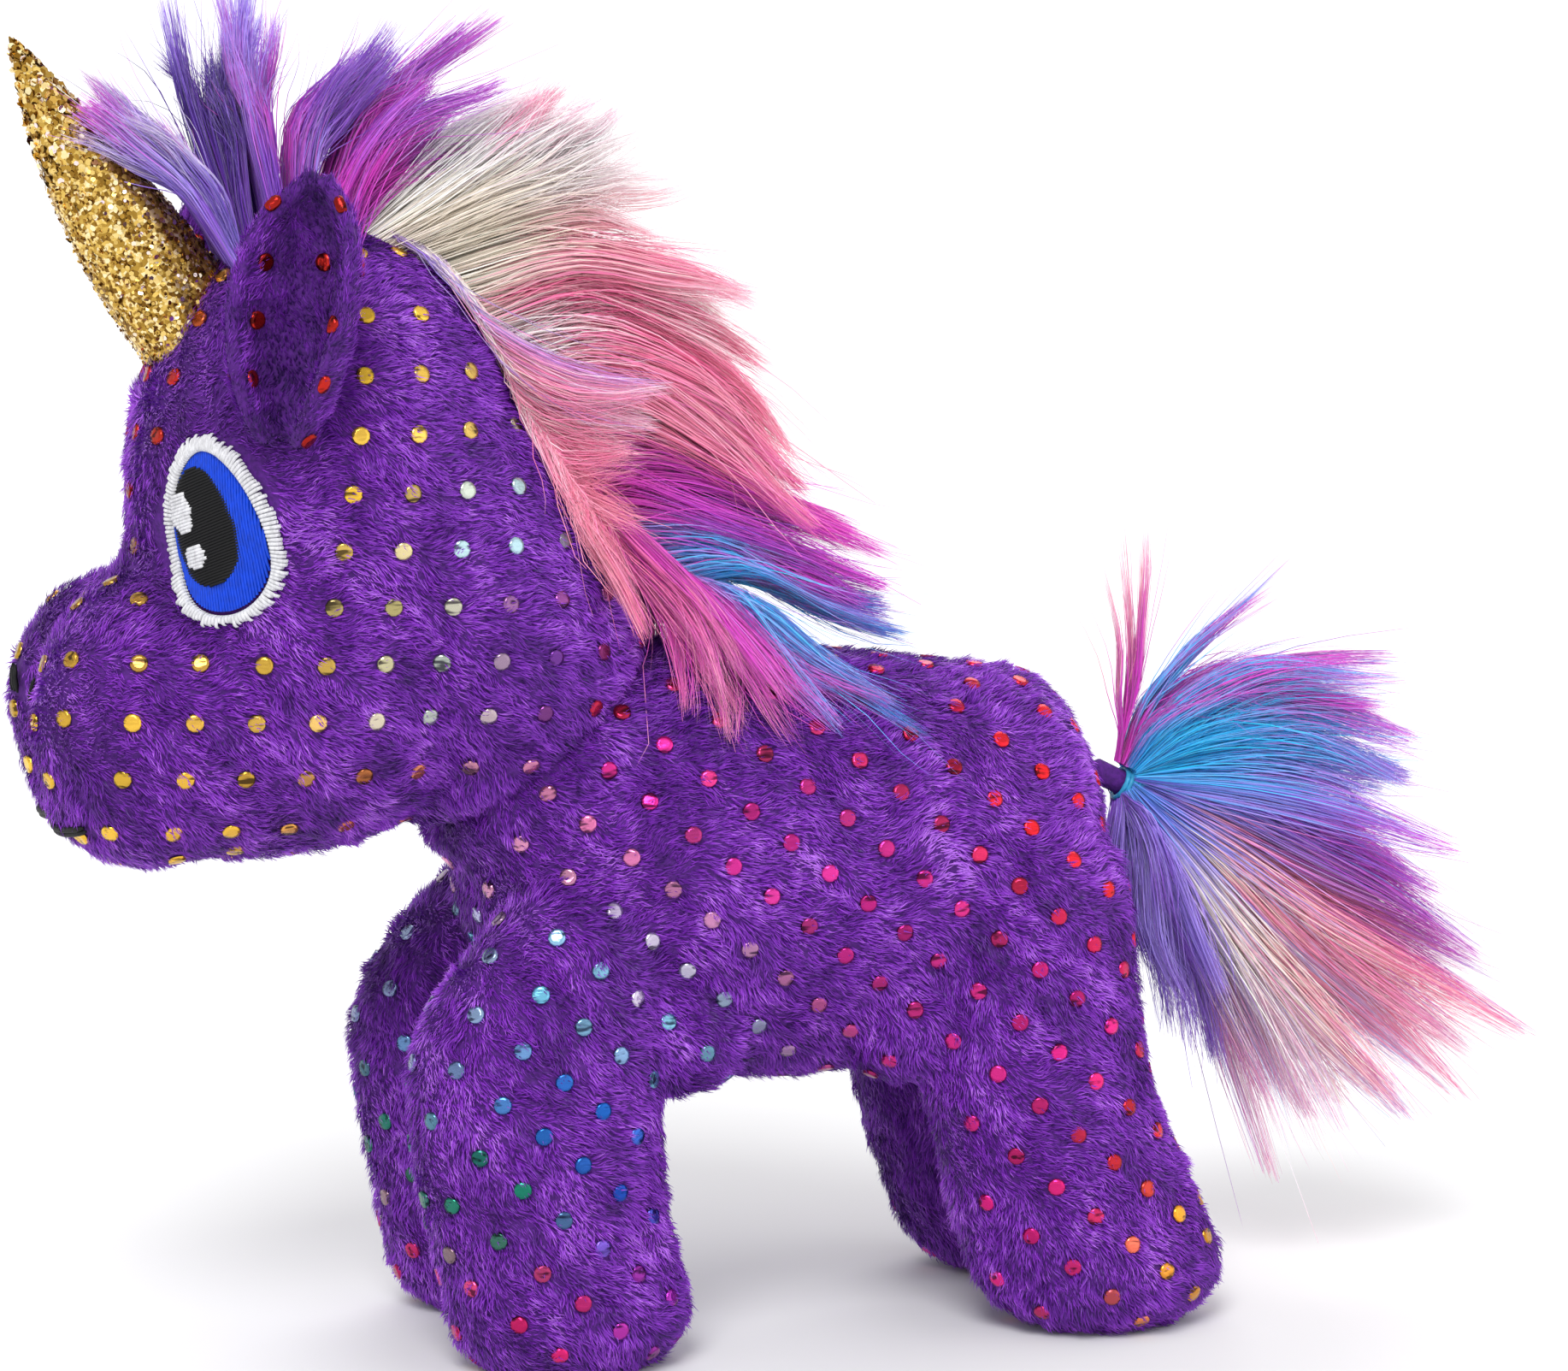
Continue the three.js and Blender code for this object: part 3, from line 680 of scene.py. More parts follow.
def leg_faces(centre, where, side):
    start, end = (np.array(place, float) for place in LEG_BEND[where])
    below = (centre[:, [0, 2]] - start) @ (end - start) > 0
    front = centre[:, 0] < -4
    narrow = (centre[:, 2] < 33) | (np.abs(centre[:, 1]) > 9)
    return below & narrow & (front == (where == "front")) & (centre[:, 1] * SIDES[side] > 0)


def spots_in(spots, arrays, keep):
    """The dots whose nearest face is one of the kept faces."""
    centres = arrays[0][arrays[1]].mean(1)
    tree = KDTree(len(centres))
    for k, c in enumerate(centres):
        tree.insert(c, k)
    tree.balance()
    return [bool(keep[tree.find(hit)[1]]) for hit, _ in spots]


def clothe(name, arrays, keep, spots, seed, body=None, bend=None, padded=None, comb=(1, 0, -0.3), **pile):
    """Backing, pile and foil dots over some faces of a form, all attached to the same body, or all left in place when a
    bend is given (the bend itself is not applied).
    """
    skin = part_of(name, arrays, keep, BACKING)
    here = [spot for spot, inside in zip(spots, spots_in(spots, arrays, keep)) if inside]
    chosen = arrays[1][keep]
    tree = tree_of(arrays)
    pieces = [skin, add_pile(f"{name}_pile", (arrays[0], chosen, arrays[2]), here, seed, comb, **pile)]
    if here:
        colours = foil_colour(np.array([hit for hit, _ in here]), seed, ear=name.startswith("ear"))
        pieces.append(add_dots(f"{name}_dots", tree, here, colours))
    for piece in pieces:
        if bend:
            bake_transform(piece)
        else:
            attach(piece, body)
    return skin


def add_form():
    """The stuffed body and head, cut up by what each part moves with."""
    piece = whole_form()
    cut_at_seam(piece)
    arrays = mesh_arrays(piece)
    uneven = 0.35 * waves(arrays[0], 24, 5) + 0.12 * waves(arrays[0], 9, 6)
    points = arrays[0] + arrays[2] * uneven[:, None]
    set_points(piece, flat_soles(seam_groove(points)))
    arrays = mesh_arrays(piece)
    drop(piece)
    tree = tree_of(arrays)
    low, high = arrays[0].min(0), arrays[0].max(0)
    centre = arrays[0][arrays[1]].mean(1)
    rise = along_neck(centre)

    body_spots = [spot for spot in dot_places(BODY_GRID, tree, low, high) if along_neck(np.array(spot[0])) < -1]
    collar = (rise > -NECK_BEND) & (rise < 0)
    legs = {(w, s): leg_faces(centre, w, s) & (rise < -NECK_BEND) for w in LEGS for s in SIDES}
    rest = (rise < -NECK_BEND) & ~np.any(list(legs.values()), axis=0)
    clothe("torso_skin", arrays, rest, body_spots, 31, body="torso", padded=0.8)
    start, end = NECK - NECK_AXIS * NECK_BEND, NECK
    clothe("neck_skin", arrays, collar, body_spots, 32, bend=("torso", "neck", start * MM, end * MM), padded=0.8)
    for k, ((where, side), keep) in enumerate(legs.items()):
        y = SIDES[side] * LEG_SIDE
        ends = [(np.array([x, y, z]) + ORIGIN) * MM for x, z in LEG_BEND[where]]
        bend = ("torso", f"{where}_{side}_leg", *ends)
        clothe(f"{where}_{side}_leg_skin", arrays, keep, body_spots, 33 + k, bend=bend, padded=0.8, comb=(0.8, 0, -0.7))

    sewn = np.concatenate(mouth_places(tree) + nostril_places(tree, -1) + nostril_places(tree, 1))
    head_spots = [spot for spot in dot_places(HEAD_GRID, tree, low, high) if along_neck(np.array(spot[0])) > 1]
    head_spots = [spot for spot in head_spots if not near_eye(spot[0])]
    nape = (rise > 0) & (rise < NECK_BEND)
    face = rise > NECK_BEND
    start, end = NECK, NECK + NECK_AXIS * NECK_BEND
    clothe("nape_skin", arrays, nape, head_spots, 41, bend=("neck", "head", start * MM, end * MM), padded=0.8)
    clothe("head_skin", arrays, face & away_from_eyes(arrays), head_spots, 42, body="head", padded=0.8, sewn=sewn)
    bald = part_of("eye_backing", arrays, face & ~away_from_eyes(arrays), BACKING)
    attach(bald, "head")
    return tree


# ---- Embroidered eyes ----
EYE = {"x": -76.8, "z": 107.0, "half_width": 7.9, "half_height": 11.6, "tilt": -13}


def near_eye(point):
    x, _, z = np.array(point) - (EYE["x"], 0, EYE["z"])
    return abs(point[1]) > 8 and (x / (EYE["half_width"] + 1.0)) ** 2 + (z / (EYE["half_height"] + 1.2)) ** 2 < 1


def away_from_eyes(arrays):
    centre = arrays[0][arrays[1]].mean(1)
    x, z = (centre[:, 0] - EYE["x"]) / (EYE["half_width"] - 1.6), (centre[:, 2] - EYE["z"]) / (EYE["half_height"] - 0.6)
    return (x**2 + z**2 > 1) | (np.abs(centre[:, 1]) < 8)


def stitches(name, starts, ends, height, thick, look, frame_of, crown=0.25):
    """Satin stitches: threads side by side from one edge to the other, laid on the surface and slightly crowned."""
    points, faces, n = [], [], 0
    around = np.linspace(0, 2 * np.pi, 6, endpoint=False)
    steps = np.linspace(0, 1, 7)
    for a, b in zip(starts, ends):
        flat = a + (b - a) * steps[:, None]
        lift = height + crown * np.sin(np.pi * steps) ** 0.5 - np.where((steps == 0) | (steps == 1), 0.25, 0)
        line, normal = frame_of(flat, lift)
        side = unit(np.cross(np.gradient(line, axis=0), normal))
        ring = line[:, None] + thick / 2 * (side[:, None] * np.cos(around)[:, None] + normal[:, None] * np.sin(around)[:, None])
        points.append(ring.reshape(-1, 3))
        i, j = np.meshgrid(np.arange(len(steps) - 1), np.arange(6), indexing="ij")
        k = (j + 1) % 6
        faces.append(np.stack([i * 6 + j, i * 6 + k, (i + 1) * 6 + k, (i + 1) * 6 + j], -1).reshape(-1, 4) + n)
        n += ring.size // 3
    return mesh_object(name, np.concatenate(points), [np.concatenate(faces)], look)


def oval(angle, half_width, half_height, egg=0.17):
    """An egg outline, narrower at the top."""
    u = np.cos(angle) * half_width * (1 - egg * np.sin(angle))
    return np.stack([u, np.sin(angle) * half_height], -1)


def filled(outline, spacing, slant, seed=0, ragged=0.0):
    """Start and end points of parallel threads that fill a convex outline."""
    turn = np.array([[np.cos(slant), np.sin(slant)], [-np.sin(slant), np.cos(slant)]])
    shape = outline @ turn.T
    source = np.random.default_rng(seed)
    rows = np.arange(shape[:, 1].min() + spacing / 2, shape[:, 1].max(), spacing)
    starts, ends = [], []
    after = np.roll(shape, -1, 0)
    for row in rows:
        cross = (shape[:, 1] - row) * (after[:, 1] - row) < 0
        if cross.sum() < 2:
            continue
        share = (row - shape[cross, 1]) / (after[cross, 1] - shape[cross, 1])
        x = shape[cross, 0] + share * (after[cross, 0] - shape[cross, 0])
        starts.append([x.min() - source.uniform(0, ragged), row])
        ends.append([x.max() + source.uniform(0, ragged), row])
    return np.array(starts) @ turn, np.array(ends) @ turn


def add_eye(side, tree):
    way = SIDES[side]
    hit, normal, _, _ = tree.ray_cast(Vector((EYE["x"], way * 60, EYE["z"])), Vector((0, -way, 0)))
    middle, normal = np.array(hit), unit(np.array(normal))
    up = unit(np.array([0, 0, 1]) - normal * normal[2])
    right = np.cross(up, normal) * -way  # towards the back of the head
    lean = np.radians(EYE["tilt"])
    up, right = up * np.cos(lean) + right * np.sin(lean), right * np.cos(lean) - up * np.sin(lean)

    def frame_of(flat, lift):
        line, normals = [], []
        for (u, v), rise in zip(flat, lift):
            start = middle + right * u + up * v + normal * 12
            place, n, _, _ = tree.ray_cast(Vector(start), Vector(-normal))
            n = unit(np.array(n) * 0.3 + normal)
            line.append(np.array(place) + n * rise)
            normals.append(n)
        return np.array(line), np.array(normals)

    w, h = EYE["half_width"], EYE["half_height"]
    angle = np.linspace(0, 2 * np.pi, 132, endpoint=False)
    source = np.random.default_rng(7)
    grow = 1 + source.uniform(-0.035, 0.03, (len(angle), 1))
    outer = oval(angle, w, h) * grow
    thick_top = np.interp(np.sin(angle), [-1, 1], [1.35, 2.0])[:, None]
    inner = oval(angle, 1, 1) * (np.array([w, h]) - thick_top)
    parts = [stitches(f"eye_{side}_ring_thread", outer, inner, 0.9, 0.5, WHITE, frame_of, 0.25)]
    iris = oval(angle, w - 1.7, h - 1.9) + [0, -0.1]
    starts, ends = filled(iris, 0.34, np.pi / 2 - 0.1)
    parts.append(stitches(f"eye_{side}_iris_thread", starts, ends, 0.75, 0.42, BLUE, frame_of, 0.1))
    pupil = oval(angle, w - 3.1, h - 4.4) + [-1.35, 0.7]
    starts, ends = filled(pupil, 0.34, 0.15)
    parts.append(stitches(f"eye_{side}_pupil_thread", starts, ends, 1.0, 0.42, BLACK, frame_of, 0.25))
    for name, (u, v), half, seed in (("upper", (-4.0, 2.9), (1.5, 2.5), 1), ("lower", (-3.1, -2.6), (1.4, 1.5), 2)):
        spot = oval(angle, *half, 0) + [u, v]
        starts, ends = filled(spot, 0.4, 0.1, seed, 0.5)
        parts.append(stitches(f"eye_{side}_{name}_glint_thread", starts, ends, 1.4, 0.48, WHITE, frame_of, 0.15))
    nodes = ("white", "iris", "pupil", "upper_glint", "lower_glint")
    slots = ("white_thread", "blue_thread", "black_thread", "white_thread", "white_thread")
    for piece, node, slot in zip(parts, nodes, slots):
        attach(piece, "head")
        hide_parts(f"eye_{side}_{node}")


# ---- Mouth and nostrils ----
def cord_mesh(name, line, thick, look, sides=8, taper=True):
    line = np.asarray(line, float)
    ahead = unit(np.gradient(line, axis=0))
    side = unit(np.cross(ahead, [0.13, 0.31, 0.94]))
    up = np.cross(ahead, side)
    n = len(line)
    radius = np.full(n, thick / 2)
    if taper:
        radius[[0, -1]] *= 0.4
    around = np.linspace(0, 2 * np.pi, sides, endpoint=False)
    ring = line[:, None] + radius[:, None, None] * (side[:, None] * np.cos(around)[:, None] + up[:, None] * np.sin(around)[:, None])
    points = np.concatenate([ring.reshape(-1, 3), line[:1], line[-1:]])
    i, j = np.meshgrid(np.arange(n - 1), np.arange(sides), indexing="ij")
    k = (j + 1) % sides
    quads = np.stack([i * sides + j, i * sides + k, (i + 1) * sides + k, (i + 1) * sides + j], -1).reshape(-1, 4)
    j = np.arange(sides)
    k = (j + 1) % sides
    ends = np.concatenate([
        np.stack([np.full_like(j, n * sides), k, j], 1),
        np.stack([np.full_like(j, n * sides + 1), (n - 1) * sides + j, (n - 1) * sides + k], 1),
    ])
    return mesh_object(name, points, [quads, ends], look)


def joined(pieces, name):
    bpy.ops.object.select_all(action="DESELECT")
    for piece in pieces:
        piece.select_set(True)
    bpy.context.view_layer.objects.active = pieces[0]
    bpy.ops.object.join()
    pieces[0].name = pieces[0].data.name = name
    return pieces[0]


MOUTH_LINES = [  # y, and degrees below level as seen from the middle of the muzzle
    [(-13, 34), (-6, 32.5), (0, 31)],
    [(13, 34), (6, 32.5), (0, 31)],
    [(0, 31), (0.1, 43), (-0.1, 56)],
]
NOSTRIL = (5.2, -24)


def on_muzzle(tree, y, degrees, lift):
    away = np.array([-np.cos(np.radians(degrees)), 0, -np.sin(np.radians(degrees))])
    start = np.array([-80, y, 79]) + away * 60
    hit, normal, _, _ = tree.ray_cast(Vector(start), Vector(-away))
    return np.array(hit) + np.array(normal) * lift


def mouth_places(tree, lift=0.0, shift=0.0):
    lines = []
    for k, line in enumerate(MOUTH_LINES):
        step = (shift, 0) if k == 2 else (0, shift * 3)
        lines.append(np.array([on_muzzle(tree, y, degrees, lift) for y, degrees in spline(line, 14) + step]))
    return lines


def nostril_places(tree, way, lift=0.0):
    lines = []
    for u in (-0.55, 0, 0.55):
        places = [(way * (NOSTRIL[0] + u + 0.25 * v), NOSTRIL[1] - 3.2 * v) for v in np.linspace(-1.4, 1.4, 5)]
        lines.append(np.array([on_muzzle(tree, y, degrees, lift) for y, degrees in places]))
    return lines


def add_mouth(tree):
    threads = [line for shift in (-0.35, 0.35) for line in mouth_places(tree, 0.7, shift)]
    mouth = joined([cord_mesh("mouth", line, 0.8, BLACK) for line in threads], "mouth_thread")
    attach(mouth, "head")
    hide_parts("mouth_stitching")
    for side, way in SIDES.items():
        rows = [cord_mesh("nostril", line, 0.65, BLACK) for line in nostril_places(tree, way, 0.8)]
        nostril = joined(rows, f"nostril_{side}_thread")
        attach(nostril, "head")
        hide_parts(f"nostril_{side}_stitching")


# ---- Horn ----
HORN = {"base": (-77.0, 0, 131.5), "lean": 31.4, "length": 40.0, "radius": 7.2}


def add_horn():
    lean = np.radians(HORN["lean"])
    axis = np.array([-np.sin(lean), 0, np.cos(lean)])
    side = np.array([0, 1.0, 0])
    front = np.cross(side, axis)
    base = np.array(HORN["base"])
    rows, around = 34, 48
    t = np.linspace(-0.14, 1, rows)
    angle = np.linspace(0, 2 * np.pi, around, endpoint=False)

    def surface(t, angle, grow=0.0):
        radius = HORN["radius"] * np.clip(1 - np.maximum(t, 0) ** 1.9, 0, 1) ** 0.95 + grow
        bow = -0.9 * np.sin(np.pi * np.clip(t, 0, 1))
        centre = base + axis * (HORN["length"] * t)[:, None] + front * bow[:, None]
        return centre + radius[:, None] * (front * np.cos(angle)[:, None] + side * np.sin(angle)[:, None] * 0.92)

    tt, aa = np.meshgrid(t, angle, indexing="ij")
    wobble = 0.12 * waves(np.stack([tt.ravel() * 30, np.cos(aa).ravel() * 7, np.sin(aa).ravel() * 7], 1), 7, 51)
    ring = surface(tt.ravel(), aa.ravel(), wobble)
    i, j = np.meshgrid(np.arange(rows - 1), np.arange(around), indexing="ij")
    k = (j + 1) % around
    quads = np.stack([i * around + j, i * around + k, (i + 1) * around + k, (i + 1) * around + j], -1).reshape(-1, 4)
    horn = mesh_object("horn_glitter_cloth", ring, [quads], GLITTER)
    source = np.random.default_rng(52)
    count = int(5200 * SHARE)
    t = source.uniform(-0.1, 0.985, count) ** 1.0
    keep = source.uniform(size=count) < np.clip(1 - np.maximum(t, 0) ** 1.9, 0, 1) + 0.08
    t = t[keep]
    angle = source.uniform(0, 2 * np.pi, len(t))
    here = surface(t, angle, source.uniform(0.02, 0.28, len(t)))
    out = unit(here - (base + axis * (HORN["length"] * t)[:, None]))
    tilt = unit(out + source.normal(0, 0.33, out.shape))
    a = unit(np.cross(tilt, axis + source.normal(0, 0.3, out.shape)))
    b = np.cross(tilt, a)
    size = source.uniform(0.17, 0.34, len(t)) * (1 + 0.7 * (t > 0.55))
    corner = np.linspace(0, 2 * np.pi, 6, endpoint=False)
    flakes = here[:, None] + size[:, None, None] * (a[:, None] * np.cos(corner)[:, None] + b[:, None] * np.sin(corner)[:, None])
    faces = np.arange(len(t) * 6).reshape(-1, 6)
    flake = mesh_object("horn_glitter_flakes", flakes.reshape(-1, 3), [faces], flake_material(), smooth=False)
    tint = np.repeat(source.uniform(size=len(t)), 6)
    layer = flake.data.attributes.new("tone", "FLOAT", "POINT")
    layer.data.foreach_set("value", tint.astype(np.float32))
    for piece in (horn, flake):
        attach(piece, "horn")
    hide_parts("horn_cover", "horn_fill")


def flake_material():
    made, tree, shader = material("gold_flakes", 0.22, Metallic=1.0)
    tone = add(tree, "ShaderNodeAttribute", attribute_name="tone").outputs["Fac"]
    stops = [(0.0, (0.2, 0.09, 0.01)), (0.4, (0.5, 0.29, 0.05)), (0.75, (0.85, 0.6, 0.18)), (0.93, (1, 0.86, 0.5)), (1, (0.9, 0.75, 0.85))]
    tree.links.new(ramp(tree, tone, stops), shader.inputs["Base Color"])
    bump(tree, shader, noise(tree, 3000), 0.2, 0.0001)
    return made


# ---- Ears ----
EAR = {"x": -69.5, "side": 24.5, "z": 118.0, "height": 31.5, "half_width": 12.2, "thick": 0.9, "turn": 36, "back": 8}


def add_ear(side):
    way = SIDES[side]
    base = np.array([EAR["x"], way * EAR["side"], EAR["z"]])
    turn, back = np.radians(EAR["turn"]), np.radians(EAR["back"])
    face = np.array([-np.sin(turn), way * np.cos(turn), 0])
    up = unit(np.array([np.sin(back), way * 0.02, np.cos(back)]))
    across = np.cross(face, up)
    rows, columns = 44, 37
    v, u = np.meshgrid(np.linspace(0, 1, rows), np.linspace(-1, 1, columns), indexing="ij")
    v, u = v.ravel(), u.ravel()
    half = EAR["half_width"] * (0.3 + 0.7 * np.sin(np.pi * v**0.85) ** 0.7) * np.sqrt(np.clip(1 - ((v - 0.55) / 0.46) ** 4, 0.02, 1))
    half = np.where(v < 0.55, EAR["half_width"] * (0.3 + 0.7 * np.sin(np.pi * v**0.85) ** 0.7), half)
    curl = 1.35 + 0.9 * (1 - v) ** 1.2
    radius = half / curl
    out = 2.0 * v - 1.5 * v * v
    sheet = base + up * (EAR["height"] * v)[:, None] + across * (radius * np.sin(u * curl))[:, None]
    sheet = sheet + face * (radius * (1 - np.cos(u * curl)) - radius * 0.5 + out)[:, None]
    i, j = np.meshgrid(np.arange(rows - 1), np.arange(columns - 1), indexing="ij")
    a = i * columns + j
    quads = np.stack([a, a + columns, a + columns + 1, a + 1], -1).reshape(-1, 4)
    piece = mesh_object("ear_form", sheet, [quads], None)
    solid = piece.modifiers.new("layers", "SOLIDIFY")
    solid.thickness, solid.offset = 2 * EAR["thick"] * MM, 0
    remesh = piece.modifiers.new("skin", "REMESH")
    remesh.mode, remesh.voxel_size = "VOXEL", 0.55 * MM
    relax = piece.modifiers.new("relax", "SMOOTH")
    relax.factor, relax.iterations = 0.5, 6
    apply_modifiers(piece)
    arrays = mesh_arrays(piece)
    drop(piece)
    tree = tree_of(arrays)
    spots = dot_places(HEAD_GRID, tree, arrays[0].min(0), arrays[0].max(0))
    everywhere = np.ones(len(arrays[1]), bool)

    def hollow_painted_shade(at, normal):
        """Painted shade: how much darker the pile is painted inside the fold, where shade falls."""
        inside = np.clip((normal @ face) * 1.6 + 0.1, 0, 1)
        from_fold = (at - base) @ across / (0.62 * EAR["half_width"])
        return 0.42 * inside * np.exp(-(from_fold**2))

    skin = clothe(
        f"ear_{side}_skin", arrays, everywhere, spots, 61 + way, body=f"ear_{side}", padded=0.1, comb=(0.1, 0, 1),
        length=1.1, density=9, dim=hollow_painted_shade
    )
    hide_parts(f"ear_{side}_outer", f"ear_{side}_lining")


# ---- Long fur ----
CREAM = (1.0, 0.89, 0.75)
PALE = (1.0, 0.93, 0.94)
PINK = (0.95, 0.18, 0.4)
SALMON = (0.98, 0.42, 0.52)
MAGENTA = (0.72, 0.045, 0.58)
VIOLET = (0.24, 0.05, 0.58)
LILAC = (0.38, 0.27, 0.85)
SKY = (0.02, 0.52, 1.0)
DEEP_SKY = (0.06, 0.25, 0.75)
DARK_VIOLET = (0.08, 0.02, 0.3)


def sheath(guides, where):
    """Points of the guide curves at places between them. guides (n, m, 3), where (k,) from 0 to n - 1."""
    low = np.clip(where.astype(int), 0, len(guides) - 2)
    share = (where - low)[:, None, None]
    return guides[low] * (1 - share) + guides[low + 1] * share


def add_fur(name, body, seed, guides, colours, count, tufts, depth, keep_out=(), width=0.14, gather=0.8, fray=2.2):
    """Long hair that follows guide curves. Each guide is a list of x, y, z from root to tip; hairs lie between
    neighbouring guides and draw together in tufts. colours has a list from root to tip for each guide. depth is the
    spread along y at root and tip."""
    source = np.random.default_rng(seed)
    count = int(count * max(SHARE, 0.5))
    steps = 10
    guides = np.array([spline(guide, steps) for guide in guides])
    stops = np.array([spline(row, steps) for row in colours])
    t = np.linspace(0, 1, steps)
    tuft = source.integers(0, tufts, count)
    last = len(guides) - 1
    middle = source.uniform(0, last, tufts)
    near = np.clip(middle[tuft] + source.normal(0, 0.5, count), 0, last)
    tuft_y, hair_y = source.uniform(-1, 1, tufts)[tuft], source.normal(0, 0.5, count)
    path = sheath(guides, near)
    core = sheath(guides, middle)[tuft]
    draw = (gather * (t**1.3) * np.ones((count, 1)))[..., None]
    path = path * (1 - draw) + core * draw
    open_to = depth[0] * (1 - t) + depth[1] * t
    path[..., 1] += open_to * (tuft_y[:, None] * (0.5 + 0.5 * t) + hair_y[:, None] * (1 - 0.75 * gather * t))
    drift = source.normal(0, 1, (tufts, 3))[tuft] * fray + source.normal(0, 0.5, (count, 3)) * fray * 0.5
    path += drift[:, None] * (t**1.6)[None, :, None]
    turn = source.uniform(0, 2 * np.pi, (tufts, 1))[tuft] + source.normal(0, 0.3, (count, 1))
    wave = np.sin(turn + t * source.uniform(3, 6, (tufts, 1))[tuft]) - np.sin(turn)
    path += wave[..., None] * unit(source.normal(size=(tufts, 3)))[tuft][:, None] * 1.25
    turn = source.uniform(0, 2 * np.pi, (tufts, 1))[tuft]
    crimp = t**0.7 * np.sin(turn + t * source.uniform(8, 13, (tufts, 1))[tuft])
    path += crimp[..., None] * unit(source.normal(size=(tufts, 3)))[tuft][:, None] * 0.75
    long = source.normal(1.03, 0.1, tufts)[tuft] * (1.04 - 0.5 * source.uniform(size=count) ** 1.3)
    long = np.clip(long, 0.4, 1.2)
    stray = source.uniform(size=count) < 0.07
    path += (stray[:, None] * source.normal(0, 3.5, (count, 3)))[:, None] * (t**2)[None, :, None]
    at = np.minimum(t[None] * long[:, None], 1) * (steps - 1)
    low = np.minimum(at.astype(int), steps - 2)
    share = (at - low)[..., None]
    row = np.arange(count)[:, None]
    path = path[row, low] * (1 - share) + path[row, low + 1] * share
    for tree in keep_out:
        flat = path.reshape(-1, 3)
        for k, point in enumerate(flat):
            if k % steps == 0:  # the root stays in the cloth
                continue
            hit, normal, _, _ = tree.find_nearest(Vector(point), 24)
            if hit is not None and (Vector(point) - hit).dot(normal) < 1.2:
                flat[k] = hit + normal * (1.2 + 0.9 * ((k * 7919) % 100) / 100)
        path = flat.reshape(path.shape)
    side = unit(np.cross(path[:, -1] - path[:, 0], source.normal(size=(count, 3))))
    thin = np.interp(t, [0, 0.12, 0.6, 0.85, 1], [0.8, 1, 0.85, 0.5, 0]) * width
    along = np.clip(t + source.normal(0, 0.08, (count, 1)) + source.normal(0, 0.08, tufts)[tuft, None], 0, 1) * (steps - 1)
    low = np.minimum(along.astype(int), steps - 2)
    share = (along - low)[..., None]
    shades = sheath(stops, np.clip(0.5 * near + 0.5 * middle[tuft] + source.normal(0, 0.2, count), 0, last))
    tint = shades[row, low] * (1 - share) + shades[row, low + 1] * share
    tint = tint * source.uniform(0.9, 1.15, (count, 1, 1)) * source.uniform(0.92, 1.15, (tufts, 1, 1))[tuft]
    piece = blades(name, path, thin, side, FUR, "hair", np.clip(tint, 0, 1))
    if isinstance(body, str):
        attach(piece, body)
    else:
        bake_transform(piece)
    return piece


FORELOCK = [  # guides from root to tip, and their colours
    ([(-71.5, -2, 136.5), (-76, -3, 147), (-81, -3, 153), (-86, -3, 158)], [LILAC, VIOLET, LILAC, MAGENTA]),
    ([(-70.5, -2, 137.5), (-74, -2, 148), (-78, -2, 153), (-82.5, -2, 156)], [LILAC, LILAC, PALE, LILAC]),
    ([(-70, 1, 138.5), (-73, 1, 149), (-74, 1, 157), (-74.5, 1, 165)], [VIOLET, DARK_VIOLET, DARK_VIOLET, LILAC]),
    ([(-69, 0, 138.5), (-71, 0, 150), (-72, 0, 157), (-73, 0, 161)], [VIOLET, VIOLET, DARK_VIOLET, VIOLET]),
    ([(-67, -1, 139.5), (-68.5, -1, 153), (-69, -1, 162), (-68.5, -1, 171)], [VIOLET, VIOLET, LILAC, LILAC]),
    ([(-65.5, 0, 139.5), (-66.5, 0, 153), (-67, 0, 160), (-67.5, 0, 166)], [VIOLET, VIOLET, MAGENTA, LILAC]),
    ([(-64, 0, 139.5), (-63, 0, 153), (-58, 0, 160.5), (-51.5, 0, 167)], [VIOLET, MAGENTA, VIOLET, MAGENTA]),
    ([(-62.5, 1, 139.5), (-61, 1, 151), (-58, 1, 157), (-54, 1, 162)], [VIOLET, LILAC, VIOLET, LILAC]),
    ([(-61, 0, 138.5), (-57, 0, 151), (-49, 0, 159), (-36.5, 0, 165.5)], [MAGENTA, MAGENTA, VIOLET, MAGENTA]),
    ([(-59, 1, 138.5), (-54, 1, 149), (-48, 1, 155), (-42, 1, 160)], [VIOLET, MAGENTA, MAGENTA, LILAC]),
    ([(-57, 0, 138.5), (-52, 0, 148.5), (-45, 0, 153), (-40, 0, 156)], [MAGENTA, MAGENTA, LILAC, PALE]),
]
